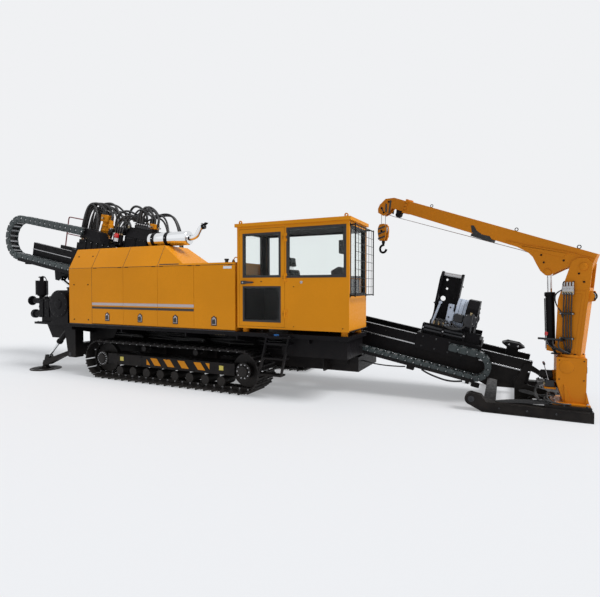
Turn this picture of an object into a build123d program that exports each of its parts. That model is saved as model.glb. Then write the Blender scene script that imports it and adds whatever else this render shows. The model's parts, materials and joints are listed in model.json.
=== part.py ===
"""Horizontal directional drill on tracks, in millimetres.

Frame: +X is the machine's front, where the drill string enters the ground, +Y is its left,
+Z is up. The ground is Z = 0, Y = 0 is the centre plane of the tracks and X = 0 lies between them.
The mast leans down to the front and stands to the left of the cab and the engine hood.
"""
import os
from math import atan2, ceil, cos, degrees, hypot, pi, radians, sin

from build123d import *

# Fits and plate thicknesses that many pieces share
PIN_GAP = 1.0            # between a pin and the bore that turns on it
SIDE_GAP = 10.0          # between two plates that swing past each other
SKIN = 40.0              # wall of the engine hood
EDGE_GAP = 5.0           # round a door in its opening

# Tracks
TRACK_Y = 1300.0         # middle of a track from the centre plane
SHOE_WIDTH = 640.0
SHOE_PITCH = 200.0
SHOE_COUNT = 50
GROUSER = 35.0           # height of a shoe's bar above its plate
SHOE_GAP = 26.0          # notch between two shoes at their tips
BELT_THICK = 70.0        # link and plate together, without the bar
SPROCKET_X = -2225.0     # rear end of the track
WHEEL_R = 330.0          # rim that the belt lies on, at both ends
IDLER_X = SPROCKET_X + (SHOE_COUNT * SHOE_PITCH - 2 * pi * (WHEEL_R + BELT_THICK)) / 2
TRACK_AXLE_Z = WHEEL_R + BELT_THICK + GROUSER
WHEEL_WIDTH = 90.0
ROLLER_R = 95.0
ROLLER_COUNT = 8
CARRIER_R = 60.0

# Main frame and decks
FRAME_HALF = 550.0
FRAME_BOTTOM = 420.0
FRAME_TOP = 700.0
FRAME_REAR = -3400.0
FRAME_FRONT = 3500.0
DECK_TOP = 1200.0
DECK_THICK = 70.0
DECK_OUTER = 1590.0
NEAR_DECK_INNER = 580.0
FAR_DECK_INNER = 950.0
DECK_REAR = -3300.0
NEAR_DECK_FRONT = 3660.0
FAR_DECK_FRONT = 1400.0
BRACKET_THICK = 30.0
NEAR_BRACKETS = (-3150.0, -1560.0, 200.0, 1420.0, 2900.0)
FAR_BRACKETS = (-2950.0, -1560.0, 200.0, 1300.0)

# Mast, in its own frame: s runs down along it, n stands square on it
MAST_Y = 300.0
MAST_SLOPE = 11.26
MAST_Z0 = 1870.0         # height of the guide rail at X = 0
MAST_REAR = -6700.0
MAST_FRONT = 6550.0
MAST_HALF = 500.0
MAST_BOTTOM = -270.0
MAST_TOP = 190.0
WEB_INNER = 380.0        # inner face of a side girder
MAST_PLATE = 16.0
GUIDE = 12.0             # half height of the bright guide rail
FLOOR_FRONT = 6180.0

# Mast pivot on the main frame
PIVOT_X = 3350.0
PIVOT_Z = 860.0
PIVOT_PIN_R = 36.0
PIVOT_LUG_R = 58.0
LUG_INNER = 300.0
LUG_THICK = 40.0

# Mast lift cylinders, one under each half of the mast
LIFT_FOOT_X = -3200.0
LIFT_FOOT_Z = 790.0
LIFT_SPREAD = 200.0
LIFT_EAR = 110.0         # outer half width of a clevis
LIFT_PIN_R = 35.0
LIFT_BARREL_R = 75.0
LIFT_ROD_R = 45.0
LIFT_BARREL = 2050.0     # foot pin to gland
LIFT_LUG_S = -5750.0
LIFT_LUG_N = -700.0

# Engine hood on the near side
HOOD_REAR = -3190.0
HOOD_FRONT = 1400.0
HOOD_NEAR = -1590.0
HOOD_INNER = -580.0
HOOD_CREASE = 2475.0
HOOD_ROOF = 2930.0
HOOD_EDGE = -1350.0      # where the slanted side meets the roof
STEP_TOP_X = -550.0      # the roof slopes down from here
STEP_LOW_X = 140.0
STEP_LOW_Z = 2517.0
HOOD_DOORS = (-2440.0, -1480.0, -510.0, 430.0, 1400.0)
DOOR_BOTTOM = 1228.0

# Cab on the near side
CAB_REAR = 1450.0
CAB_FRONT = 3660.0
CAB_NEAR = -1590.0
CAB_INNER = -600.0
CAB_FLOOR = 1280.0
CAB_TOP = 3160.0
ROOF_THICK = 60.0
ROOF_OUT = 35.0
CAB_WALL = 50.0
CAB_MOUNT = 80.0
GLASS = 8.0
DOOR_REAR_X = 1500.0
DOOR_FRONT_X = 2450.0
DOOR_LOW_Z = 1320.0
DOOR_TOP_Z = 3110.0
DOOR_THICK = 45.0
HINGE_X = 2452.5
HINGE_Y = -1603.0
HINGE_R = 11.0
HINGE_Z = (1560.0, 2215.0, 2930.0)
SIDE_WINDOW_X = (2490.0, 3605.0)
SIDE_WINDOW_Z = (2210.0, 3095.0)
FAR_WINDOW_X = (1560.0, 3605.0)
REAR_WINDOW_Y = (-1500.0, -700.0)
FRONT_WINDOW_Y = (-1535.0, -655.0)
FRONT_WINDOW_Z = (1900.0, 3090.0)
DOOR_WINDOW_X = (1575.0, 2370.0)
UPPER_PANE_Z = (2220.0, 3030.0)
LOWER_PANE_Z = (1405.0, 2056.0)

# Rear legs
LEG_Y = 1350.0
LEG_PIVOT_X = -3350.0
LEG_PIVOT_Z = 450.0
LEG_FOOT_X = -4400.0
LEG_FOOT_Z = 165.0
LEG_PIN_R = 35.0
LEG_ARM_HALF = 70.0
LEG_CYL_X = -3480.0
LEG_CYL_Z = 1080.0
LEG_EYE_X = -4270.0
LEG_EYE_Z = 330.0
PAD_R = 350.0
PAD_THICK = 22.0

# Mud pump behind the hood
PUMP_NEAR = -1530.0
PUMP_FAR = -1020.0
PUMP_DECK = 1165.0       # underside of its platform
PUMP_PLATE = 25.0
PUMP_BRACKET = 200.0     # width of the bracket beneath
PUMP_REAR = -4550.0
CRANK_X = -3650.0
CRANK_Z = 1640.0
CRANK_R = 330.0
FLUID_END_X = (-4420.0, -3900.0)
FLUID_END_Z = (1300.0, 1750.0)
DAMPER_X = -4620.0
DAMPER_R = 140.0
DAMPER_Z = (1850.0, 2210.0)
OUTLET_Z = 1700.0        # line with the hand wheel
WHEEL_X = -4985.0
WHEEL_RIM_R = 120.0
INLET_Z = 1370.0
INLET_END = -4910.0
PUMP_BORE_R = 51.0       # mud hose connection
PUMP_BORE_DEPTH = 120.0

# Tanks on the far deck
TANKS = ((-3150.0, -1700.0, -2900.0), (-1560.0, -200.0, -1300.0))    # rear, front and cap
TANK_Y = (1000.0, 1560.0)
TANK_TOP = 1980.0

# Energy chains
REAR_CHAIN_Y = -655.0    # middle of the chain from the mast's middle
REAR_CHAIN_WIDTH = 280.0
REAR_CHAIN_THICK = 205.0
REAR_BEND_S = -6926.0
REAR_BEND_N = 262.0
REAR_BEND_R = 645.0      # outer radius
REAR_CHAIN_FIXED = -3500.0
REAR_CHAIN_END = -4390.0
FRONT_CHAIN_Y = -665.0
FRONT_CHAIN_WIDTH = 240.0
FRONT_CHAIN_THICK = 115.0
FRONT_BEND_S = 5678.0
FRONT_BEND_N = -88.0
FRONT_BEND_R = 272.0
FRONT_CHAIN_FIXED = 3350.0
FRONT_CHAIN_END = 5200.0

# Carriage with the power head
CARRIAGE_REAR = -5050.0
CARRIAGE_FRONT = -1650.0
SPINDLE_N = 635.0
SPINDLE_R = 75.0
SLIDE_GAP = 6.0

# Vise at the mast's front
VISE_REAR = 4580.0
VISE_FRONT = 5715.0
VISE_BASE = 45.0         # thickness of its base plate
PASSAGE_R = 160.0        # the drill rod's way through
CLAMP_R = 330.0
CLAMP_S = (5140.0, 5320.0)
FIXED_VISE_S = (5330.0, 5530.0)
MAST_HEAD_S = (4700.0, 5120.0)    # the tall bracket behind the clamp
MAST_HEAD_TOP = 1440.0

# Anchor foot
FOOT_PIVOT_S = 6410.0
FOOT_PIVOT_N = -200.0
FOOT_PIN_R = 45.0
FOOT_NEAR = -850.0
FOOT_FAR = 1450.0
FOOT_EYE_X = 5526.0
FOOT_EYE_Z = 195.0
FOOT_EYE_R = 100.0
FOOT_FRONT = 7240.0
RUNNER_TOP = 165.0
FOOT_PLATE_TOP = 215.0
RUNNER_WIDTH = 180.0
FOOT_PLATE_X = 6600.0    # rear edge of the plate that carries the crane
FOOT_EAR = 40.0
STAKE_R = 55.0           # holes for the ground anchors
STAKES = ((6670.0, -65.0), (6660.0, 1220.0), (7130.0, 250.0), (7130.0, 1220.0))

# Crane on the foot
CRANE_X = 6980.0
CRANE_Y = -450.0
CRANE_TURN = 160.0       # the boom points here, counted from +X towards +Y
RING_Z = 940.0
RING_THICK = 40.0
BOOM_PIVOT_X = -180.0    # behind the turning centre
BOOM_PIVOT_Z = 2355.0
BOOM_LUFF = 21.0
BOOM_HALF_W = 85.0
BOOM_LOW = -10.0         # underside of the box section, from the pivot
BOOM_HIGH = 235.0
BOOM_WALL = 10.0
BOOM_BASE_END = 3450.0
BOOM_TIP_END = 4075.0
ROOT_HALF_W = 100.0      # outer faces of the root's side plates
ROOT_PLATE = 20.0
HOOK_U = 3985.0
HOOK_V = -60.0
PIVOT_BOLT_R = 30.0
LUFF_LUG_U = 450.0
LUFF_LUG_V = -250.0
LUFF_FOOT_X = 290.0
LUFF_FOOT_Z = 1060.0


def box(x0, x1, y0, y1, z0, z1):
    return Pos((x0 + x1) / 2, (y0 + y1) / 2, (z0 + z1) / 2) * Box(abs(x1 - x0), abs(y1 - y0), abs(z1 - z0))


def cylinder_y(x, z, radius, y0, y1):
    return Pos(x, (y0 + y1) / 2, z) * Rot(90, 0, 0) * Cylinder(radius, abs(y1 - y0))


def cylinder_x(y, z, radius, x0, x1):
    return Pos((x0 + x1) / 2, y, z) * Rot(0, 90, 0) * Cylinder(radius, abs(x1 - x0))


def cylinder_z(x, y, radius, z0, z1):
    return Pos(x, y, (z0 + z1) / 2) * Cylinder(radius, abs(z1 - z0))


def plate_y(points, y0, y1):
    """An outline of (x, z) points, extruded from y0 to y1."""
    face = make_face(Polyline(*[(x, y0, z) for x, z in points], close=True))
    return extrude(face, amount=y1 - y0, dir=(0, 1, 0))


def plate_x(points, x0, x1):
    """An outline of (y, z) points, extruded from x0 to x1."""
    face = make_face(Polyline(*[(x0, y, z) for y, z in points], close=True))
    return extrude(face, amount=x1 - x0, dir=(1, 0, 0))


def rod_between(x0, z0, x1, z1, radius, y):
    """A round bar in the plane of the given y."""
    length = hypot(x1 - x0, z1 - z0)
    tilt = degrees(atan2(x1 - x0, z1 - z0))
    return Pos((x0 + x1) / 2, y, (z0 + z1) / 2) * Rot(0, tilt, 0) * Cylinder(radius, length)


def fuse(pieces):
    first = pieces[0]
    return first.fuse(*pieces[1:]) if len(pieces) > 1 else first


MAST = Pos(0, MAST_Y, MAST_Z0) * Rot(0, MAST_SLOPE, 0)
CRANE = Pos(CRANE_X, CRANE_Y, 0) * Rot(0, 0, CRANE_TURN)
BOOM = CRANE * Pos(BOOM_PIVOT_X, 0, BOOM_PIVOT_Z) * Rot(0, -BOOM_LUFF, 0)


def mast_point(s, n):
    """World X and Z of a point on the mast."""
    a = radians(MAST_SLOPE)
    return s * cos(a) + n * sin(a), MAST_Z0 - s * sin(a) + n * cos(a)


def mast_coordinates(x, z):
    """The mast's s and n of a world X and Z."""
    a = radians(MAST_SLOPE)
    return x * cos(a) - (z - MAST_Z0) * sin(a), x * sin(a) + (z - MAST_Z0) * cos(a)


def belt_point(distance, out):
    """A point on the track's closed path, as far out from the wheels' rims as told."""
    flat = IDLER_X - SPROCKET_X
    round_end = pi * (WHEEL_R + BELT_THICK)
    distance = distance % (2 * flat + 2 * round_end)
    radius = WHEEL_R + out
    if distance < flat:
        return SPROCKET_X + distance, TRACK_AXLE_Z - radius
    distance -= flat
    if distance < round_end:
        turn = pi * distance / round_end
        return IDLER_X + radius * sin(turn), TRACK_AXLE_Z - radius * cos(turn)
    distance -= round_end
    if distance < flat:
        return IDLER_X - distance, TRACK_AXLE_Z + radius
    turn = pi * (distance - flat) / round_end
    return SPROCKET_X - radius * sin(turn), TRACK_AXLE_Z + radius * cos(turn)


def track(side):
    """One closed loop: shoes with a bar each and a notch between them, on a smooth inside."""
    outline = []
    for shoe in range(SHOE_COUNT):
        start = shoe * SHOE_PITCH
        for along, out in (
            (SHOE_GAP / 2, BELT_THICK - 30),
            (SHOE_GAP / 2, BELT_THICK),
            (SHOE_PITCH * 0.42, BELT_THICK),
            (SHOE_PITCH * 0.46, BELT_THICK + GROUSER),
            (SHOE_PITCH * 0.54, BELT_THICK + GROUSER),
            (SHOE_PITCH * 0.58, BELT_THICK),
            (SHOE_PITCH - SHOE_GAP / 2, BELT_THICK),
            (SHOE_PITCH - SHOE_GAP / 2, BELT_THICK - 30),
        ):
            outline.append(belt_point(start + along, out))
    y0 = side * TRACK_Y - SHOE_WIDTH / 2
    y1 = side * TRACK_Y + SHOE_WIDTH / 2
    loop = plate_y(outline, y0, y1)
    hollow = box(SPROCKET_X, IDLER_X, y0 - 1, y1 + 1, TRACK_AXLE_Z - WHEEL_R, TRACK_AXLE_Z + WHEEL_R)
    hollow = hollow.fuse(
        cylinder_y(SPROCKET_X, TRACK_AXLE_Z, WHEEL_R, y0 - 1, y1 + 1),
        cylinder_y(IDLER_X, TRACK_AXLE_Z, WHEEL_R, y0 - 1, y1 + 1),
    )
    return loop.cut(hollow)


def running_gear():
    """Sprockets, idlers and rollers of both tracks, as solids that stand apart."""
    pieces = []
    rim = WHEEL_R - 2
    first_roller = SPROCKET_X + 520
    last_roller = IDLER_X - 520
    step = (last_roller - first_roller) / (ROLLER_COUNT - 1)
    roller_z = TRACK_AXLE_Z - WHEEL_R + ROLLER_R + 2
    for side in (-1, 1):
        middle = side * TRACK_Y
        for x in (SPROCKET_X, IDLER_X):
            wheel = cylinder_y(x, TRACK_AXLE_Z, rim, middle - WHEEL_WIDTH / 2, middle + WHEEL_WIDTH / 2)
            hub = cylinder_y(x, TRACK_AXLE_Z, 150, middle - 190, middle + 190)
            pieces.append(wheel.fuse(hub))
        for number in range(ROLLER_COUNT):
            x = first_roller + number * step
            pieces.append(cylinder_y(x, roller_z, ROLLER_R, middle - 190, middle + 190))
        for x in (-1100.0, 300.0):
            z = TRACK_AXLE_Z + WHEEL_R - CARRIER_R - 2
            pieces.append(cylinder_y(x, z, CARRIER_R, middle - 90, middle + 90))
    return Compound(children=pieces)


def track_frames():
    """The box frame inside each track, with the cross tubes that carry the main frame."""
    pieces = []
    low = TRACK_AXLE_Z - 100
    high = TRACK_AXLE_Z + 130
    for side in (-1, 1):
        middle = side * TRACK_Y
        beam = box(SPROCKET_X + 190, IDLER_X - 190, middle - 210, middle + 210, low, high)
        for x in (SPROCKET_X + 190, IDLER_X - 190):
            beam = beam.cut(box(x - 175, x + 175, middle - 60, middle + 60, low - 1, high + 1))
        pieces.append(beam)
    joined = []
    for x in (-1350.0, 850.0):
        joined.append(box(x - 140, x + 140, FRAME_HALF, TRACK_Y - 210, low + 40, high + 60))
        joined.append(box(x - 140, x + 140, -TRACK_Y + 210, -FRAME_HALF, low + 40, high + 60))
    return fuse(pieces + joined)


def chassis_frame():
    """Main box frame, rear crossbeam with the leg lugs, and the fork that carries the mast."""
    beams = []
    for side in (-1, 1):
        inner = FRAME_HALF - 220
        y0, y1 = sorted((side * inner, side * FRAME_HALF))
        beams.append(box(FRAME_REAR, FRAME_FRONT, y0, y1, FRAME_BOTTOM, FRAME_TOP))
    for x in (-3250.0, -1350.0, 850.0, 2300.0):
        beams.append(box(x - 150, x + 150, -FRAME_HALF, FRAME_HALF, FRAME_BOTTOM, FRAME_TOP - 20))
    far_fork = MAST_Y + LUG_INNER + 2 * LUG_THICK + SIDE_GAP
    beams.append(box(PIVOT_X - 150, FRAME_FRONT, -FRAME_HALF, far_fork + 40, FRAME_BOTTOM, FRAME_TOP))
    for side in (-1, 1):
        inner = MAST_Y + side * (LUG_INNER + LUG_THICK + SIDE_GAP)
        y0, y1 = sorted((inner, inner + side * LUG_THICK))
        ear = plate_y([(PIVOT_X - 120, FRAME_TOP - 5), (PIVOT_X + 120, FRAME_TOP - 5),
                       (PIVOT_X + PIVOT_LUG_R, PIVOT_Z), (PIVOT_X - PIVOT_LUG_R, PIVOT_Z)], y0, y1)
        ear = ear.fuse(cylinder_y(PIVOT_X, PIVOT_Z, PIVOT_LUG_R, y0, y1))
        beams.append(ear)
    pin_end = LUG_INNER + 2 * LUG_THICK + SIDE_GAP + 15
    beams.append(cylinder_y(PIVOT_X, PIVOT_Z, PIVOT_PIN_R, MAST_Y - pin_end, MAST_Y + pin_end))
    rear_beam = box(FRAME_REAR, FRAME_REAR + 230, -LEG_Y + 150, LEG_Y - 150, FRAME_BOTTOM, FRAME_TOP)
    beams.append(rear_beam)
    for side in (-1, 1):
        for offset in (-LEG_ARM_HALF - SIDE_GAP - 30, LEG_ARM_HALF + SIDE_GAP):
            y0 = side * LEG_Y + offset
            cheek = plate_y([(FRAME_REAR + 230, 380), (LEG_PIVOT_X - 60, 380), (LEG_PIVOT_X - 90, 500),
                             (LEG_CYL_X - 80, LEG_CYL_Z + 50), (FRAME_REAR + 230, DECK_TOP - DECK_THICK)],
                            y0, y0 + 30)
            beams.append(cheek)
        y0 = side * LEG_Y - LEG_ARM_HALF - SIDE_GAP - 30
        y1 = side * LEG_Y + LEG_ARM_HALF + SIDE_GAP + 30
        beams.append(cylinder_y(LEG_PIVOT_X, LEG_PIVOT_Z, LEG_PIN_R, y0, y1))
        beams.append(cylinder_y(LEG_CYL_X, LEG_CYL_Z, LEG_PIN_R, y0, y1))
        beams.append(box(FRAME_REAR + 200, FRAME_REAR + 230, y0, y1, 380, DECK_TOP - DECK_THICK))
        inner_edge = side * (LEG_Y - LEG_ARM_HALF - SIDE_GAP - 30)
        y0, y1 = sorted((side * (FRAME_HALF - 20), inner_edge))
        beams.append(box(FRAME_REAR + 200, FRAME_REAR + 230, y0, y1, FRAME_BOTTOM, FRAME_TOP))
    for side in (-1, 1):
        y = MAST_Y + side * LIFT_SPREAD
        for y0 in (y - LIFT_EAR, y + LIFT_EAR - 25):
            beams.append(plate_y([(LIFT_FOOT_X - 130, FRAME_TOP - 25), (LIFT_FOOT_X + 130, FRAME_TOP - 25),
                                  (LIFT_FOOT_X + 60, LIFT_FOOT_Z + 50), (LIFT_FOOT_X - 60, LIFT_FOOT_Z + 50)],
                                 y0, y0 + 25))
        beams.append(cylinder_y(LIFT_FOOT_X, LIFT_FOOT_Z, LIFT_PIN_R, y - LIFT_EAR, y + LIFT_EAR))
    beams.append(box(LIFT_FOOT_X - 130, LIFT_FOOT_X + 130, FRAME_HALF - 10, FRAME_HALF + 70, 560, FRAME_TOP))
    return fuse(beams)


def decks():
    """The side decks with their brackets, the box under the cab and the pump's platform."""
    pieces = [
        box(DECK_REAR, NEAR_DECK_FRONT, -DECK_OUTER, -NEAR_DECK_INNER, DECK_TOP - DECK_THICK, DECK_TOP),
        box(DECK_REAR, FAR_DECK_FRONT, FAR_DECK_INNER, DECK_OUTER, DECK_TOP - DECK_THICK, DECK_TOP),
    ]
    low = DECK_TOP - DECK_THICK
    near = [(-FRAME_HALF, FRAME_BOTTOM + 30), (-FRAME_HALF, FRAME_TOP), (-NEAR_DECK_INNER, low),
            (-DECK_OUTER, low), (-DECK_OUTER, low - 70), (-960, 930), (-860, FRAME_BOTTOM + 30)]
    far = [(FRAME_HALF, FRAME_BOTTOM + 30), (FRAME_HALF, FRAME_TOP), (880, FRAME_TOP + 20),
           (FAR_DECK_INNER, low), (DECK_OUTER, low), (DECK_OUTER, low - 70), (970, 940),
           (930, 760), (700, FRAME_BOTTOM + 30)]
    for x in NEAR_BRACKETS:
        pieces.append(plate_x(near, x, x + BRACKET_THICK))
    for x in FAR_BRACKETS:
        pieces.append(plate_x(far, x, x + BRACKET_THICK))
    pieces.append(box(2350, 3600, -1500, -620, 800, low))
    pieces.append(box(2930, 3300, -620, -FRAME_HALF, 560, 900))
    return fuse(pieces)


def hood_shell():
    """Hollow hood: roof, ends, inner wall and the door frame; the doors are pieces of their own."""
    outer = hood_form(0)
    inner = hood_form(SKIN)
    shell = outer.cut(inner)
    shell = shell.cut(box(HOOD_DOORS[0], HOOD_DOORS[-1] + 1, HOOD_NEAR - 1, HOOD_NEAR + SKIN,
                          DECK_TOP - 1, HOOD_CREASE))
    shell = shell.cut(box(HOOD_DOORS[0] + SKIN, HOOD_DOORS[-1] - SKIN, HOOD_NEAR - 1, HOOD_NEAR + SKIN + 1,
                          DECK_TOP + 30, HOOD_CREASE))
    posts = []
    for x in HOOD_DOORS[1:-1]:
        posts.append(box(x - 25, x + 25, HOOD_NEAR + SKIN + EDGE_GAP, HOOD_NEAR + SKIN + 45,
                         DECK_TOP, HOOD_CREASE + 15))
    sill = box(HOOD_DOORS[0] - 20, HOOD_FRONT - SKIN, HOOD_NEAR + SKIN + EDGE_GAP, HOOD_NEAR + SKIN + 45,
               DECK_TOP, DECK_TOP + 30)
    return shell.fuse(sill, *posts)


def hood_form(inset):
    """The hood's outline, shrunk by inset on every side but the open bottom."""
    section = [(HOOD_NEAR + inset, DECK_TOP), (HOOD_NEAR + inset, HOOD_CREASE),
               (HOOD_EDGE + inset * 0.6, HOOD_ROOF - inset), (HOOD_INNER - inset, HOOD_ROOF - inset),
               (HOOD_INNER - inset, DECK_TOP)]
    form = plate_x(section, HOOD_REAR + inset, HOOD_FRONT - inset)
    slope = [(STEP_TOP_X, HOOD_ROOF - inset), (STEP_LOW_X, STEP_LOW_Z - inset),
             (HOOD_FRONT + 50, STEP_LOW_Z - inset), (HOOD_FRONT + 50, HOOD_ROOF + 50),
             (STEP_TOP_X, HOOD_ROOF + 50)]
    return form.cut(plate_y(slope, HOOD_NEAR - 50, HOOD_INNER + 50))


def hood_door(number):
    """A lift-up door with a raised rim behind and a latch cup at its foot."""
    x0 = HOOD_DOORS[number] + EDGE_GAP / 2
    x1 = HOOD_DOORS[number + 1] - EDGE_GAP / 2
    top = HOOD_CREASE - EDGE_GAP
    panel = box(x0, x1, HOOD_NEAR, HOOD_NEAR + SKIN - 2, DOOR_BOTTOM, top)
    middle = (x0 + x1) / 2
    cup = box(middle - 65, middle + 65, HOOD_NEAR - 1, HOOD_NEAR + 15, 1320, 1460)
    paddle = box(middle - 45, middle + 45, HOOD_NEAR + 3, HOOD_NEAR + 15, 1335, 1445)
    return panel.cut(cup).fuse(paddle)


def engine_block():
    return box(-1900, -350, -1330, -680, DECK_TOP, 2150)


def exhaust():
    """Muffler on the roof, with two straps on feet and a tail pipe that bends up to a flap."""
    y = -1070.0
    z = 3092.0
    can = cylinder_x(y, z, 150, -1165, -80)
    pieces = [can]
    for x, foot in ((-1010.0, HOOD_ROOF), (-640.0, HOOD_ROOF)):
        strap = cylinder_x(y, z, 156, x - 45, x + 45)
        pieces.append(strap)
        pieces.append(box(x - 45, x + 45, y - 80, y + 80, foot, z - 100))
    bend = FilletPolyline((-85, y, z), (70, y, z), (130, y, z + 190), (300, y, z + 230), radius=70)
    pipe = sweep(Plane(origin=bend @ 0, z_dir=bend % 0) * Circle(52), path=bend)
    flap = Pos(315, y, z + 262) * Rot(0, -35, 0) * Box(130, 120, 8)
    inlet = cylinder_z(-900, y, 50, HOOD_ROOF, z)
    return fuse(pieces + [pipe, flap, inlet])


def cab_shell():
    """Hollow cab welded from a floor, four walls with their windows and doorway, and a roof."""
    low = CAB_FLOOR + CAB_WALL
    high = CAB_TOP - CAB_WALL
    near = (CAB_NEAR, CAB_NEAR + CAB_WALL)
    far = (CAB_INNER - CAB_WALL, CAB_INNER)
    rear = (CAB_REAR, CAB_REAR + CAB_WALL)
    front = (CAB_FRONT - CAB_WALL, CAB_FRONT)
    doorway = box(DOOR_REAR_X - EDGE_GAP, DOOR_FRONT_X + EDGE_GAP, near[0] - 1, near[1] + 1,
                  DOOR_LOW_Z - EDGE_GAP, DOOR_TOP_Z + EDGE_GAP)
    near_wall = box(CAB_REAR, CAB_FRONT, *near, CAB_FLOOR, CAB_TOP)
    near_wall = near_wall.cut(doorway, box(*SIDE_WINDOW_X, near[0] - 1, near[1] + 1, *SIDE_WINDOW_Z))
    far_wall = box(CAB_REAR, CAB_FRONT, *far, low, high)
    far_wall = far_wall.cut(box(*FAR_WINDOW_X, far[0] - 1, far[1] + 1, *SIDE_WINDOW_Z))
    rear_wall = box(*rear, near[1], far[0], low, high)
    rear_wall = rear_wall.cut(box(rear[0] - 1, rear[1] + 1, *REAR_WINDOW_Y, *SIDE_WINDOW_Z))
    front_wall = box(*front, near[1], far[0], low, high)
    front_wall = front_wall.cut(box(front[0] - 1, front[1] + 1, *FRONT_WINDOW_Y, *FRONT_WINDOW_Z))
    floor = box(CAB_REAR, CAB_FRONT, near[1], CAB_INNER, CAB_FLOOR, low)
    mounts = []
    for x in (CAB_REAR + 120, CAB_FRONT - 120):
        for y in (CAB_NEAR + 120, CAB_INNER - 120):
            mounts.append(cylinder_z(x, y, 60, CAB_FLOOR - CAB_MOUNT, CAB_FLOOR))
    ceiling = box(CAB_REAR, CAB_FRONT, near[1], CAB_INNER, high, CAB_TOP)
    roof_top = CAB_TOP + ROOF_THICK
    roof = box(CAB_REAR - ROOF_OUT, CAB_FRONT + ROOF_OUT, CAB_NEAR - ROOF_OUT, CAB_INNER + ROOF_OUT,
               CAB_TOP, roof_top)
    eyes = []
    for x in (CAB_REAR + 60, CAB_FRONT - 60):
        eye = cylinder_y(x, roof_top + 30, 35, CAB_NEAR + 20, CAB_NEAR + 40)
        eyes.append(eye.cut(cylinder_y(x, roof_top + 32, 16, CAB_NEAR + 10, CAB_NEAR + 50)))
    return Compound(children=[floor, *mounts, near_wall.fuse(*hinge_parts(1)), far_wall, rear_wall,
                              front_wall, roof.fuse(ceiling, *eyes)])


def cab_glass():
    """The fixed panes, each in the middle of its wall."""
    inset = (CAB_WALL - GLASS) / 2
    panes = [
        box(*SIDE_WINDOW_X, CAB_NEAR + inset, CAB_NEAR + inset + GLASS, *SIDE_WINDOW_Z),
        box(*FAR_WINDOW_X, CAB_INNER - inset - GLASS, CAB_INNER - inset, *SIDE_WINDOW_Z),
        box(CAB_REAR + inset, CAB_REAR + inset + GLASS, *REAR_WINDOW_Y, *SIDE_WINDOW_Z),
        box(CAB_FRONT - inset - GLASS, CAB_FRONT - inset, *FRONT_WINDOW_Y, *FRONT_WINDOW_Z),
    ]
    return Compound(children=panes)


def cab_door():
    """The door leaf with both window cut-outs, its grab handle and hinge barrels."""
    leaf = box(DOOR_REAR_X, DOOR_FRONT_X, CAB_NEAR, CAB_NEAR + DOOR_THICK, DOOR_LOW_Z, DOOR_TOP_Z)
    near = (CAB_NEAR - 1, CAB_NEAR + DOOR_THICK + 1)
    leaf = leaf.cut(box(*DOOR_WINDOW_X, *near, *UPPER_PANE_Z), box(*DOOR_WINDOW_X, *near, *LOWER_PANE_Z))
    handle = box(1560, 1800, CAB_NEAR - 30, CAB_NEAR, 2105, 2150)
    return leaf.fuse(handle, *hinge_parts(-1))


def hinge_parts(side):
    """Leaves and knuckles of the door's three hinges: side -1 on the door, 1 on the post."""
    parts = []
    for z in HINGE_Z:
        for low, high, owner in ((z - 75, z - 26, 1), (z - 25, z + 25, -1), (z + 26, z + 75, 1)):
            if owner == side:
                parts.append(cylinder_z(HINGE_X, HINGE_Y, HINGE_R, low, high))
                parts.append(box(HINGE_X, HINGE_X + side * 50, HINGE_Y, CAB_NEAR + 1, low, high))
    return parts


def cab_door_glass():
    inset = (DOOR_THICK - GLASS) / 2
    panes = [box(*DOOR_WINDOW_X, CAB_NEAR + inset, CAB_NEAR + inset + GLASS, *span)
             for span in (UPPER_PANE_Z, LOWER_PANE_Z)]
    return Compound(children=panes)


def cab_seat():
    y = (CAB_NEAR + CAB_INNER) / 2
    floor = CAB_FLOOR + CAB_WALL
    base = box(2450, 2850, y - 180, y + 180, floor, floor + 330)
    cushion = box(2400, 2930, y - 250, y + 250, floor + 330, floor + 460)
    back = plate_y([(2400, floor + 460), (2520, floor + 460), (2420, floor + 1060), (2310, floor + 1060)],
                   y - 240, y + 240)
    head = plate_y([(2315, floor + 1090), (2405, floor + 1090), (2380, floor + 1280), (2295, floor + 1280)],
                   y - 140, y + 140)
    posts = box(2330, 2390, y - 60, y + 60, floor + 1055, floor + 1095)
    arms = [box(2450, 2850, y + side * 300 - 40, y + side * 300 + 40, floor + 600, floor + 660)
            for side in (-1, 1)]
    stays = [box(2520, 2620, y + side * 300 - 40, y + side * 300 + 40, floor + 380, floor + 600)
             for side in (-1, 1)]
    links = [box(2520, 2620, min(y + side * 240, y + side * 270), max(y + side * 240, y + side * 270),
                 floor + 380, floor + 440) for side in (-1, 1)]
    return fuse([base, cushion, back, head, posts] + arms + stays + links)


def cab_console():
    """Driving console at the front wall and a screen that hangs from the roof."""
    floor = CAB_FLOOR + CAB_WALL
    desk = plate_y([(3300, floor), (3600, floor), (3600, floor + 850), (3420, floor + 850),
                    (3230, floor + 700)], CAB_NEAR + 260, CAB_INNER - 260)
    arm = box(3380, 3420, -1115, -1075, 2860, CAB_TOP - CAB_WALL)
    screen = box(3370, 3430, -1280, -910, 2640, 2860)
    return Compound(children=[desk, arm.fuse(screen)])


def window_guard():
    """Welded round-bar guard in front of the front window."""
    x = CAB_FRONT + 90
    r = 11.0
    low, high = FRONT_WINDOW_Z
    y0 = CAB_NEAR + 55
    y1 = -440.0
    bars = []
    over = 2 * r
    for z in (low, low + 400, low + 800, high):
        bars.append(cylinder_y(x, z, r, y0 - over, y1 + over))
    for number in range(8):
        y = y0 + number * (y1 - y0) / 7
        bars.append(cylinder_z(x, y, r - 2, low - over, high + over))
    for y in (y0, CAB_INNER - 30):
        for z in (low, high):
            bars.append(box(CAB_FRONT, x, y - 12, y + 12, z - 12, z + 12))
    return fuse(bars)


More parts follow.
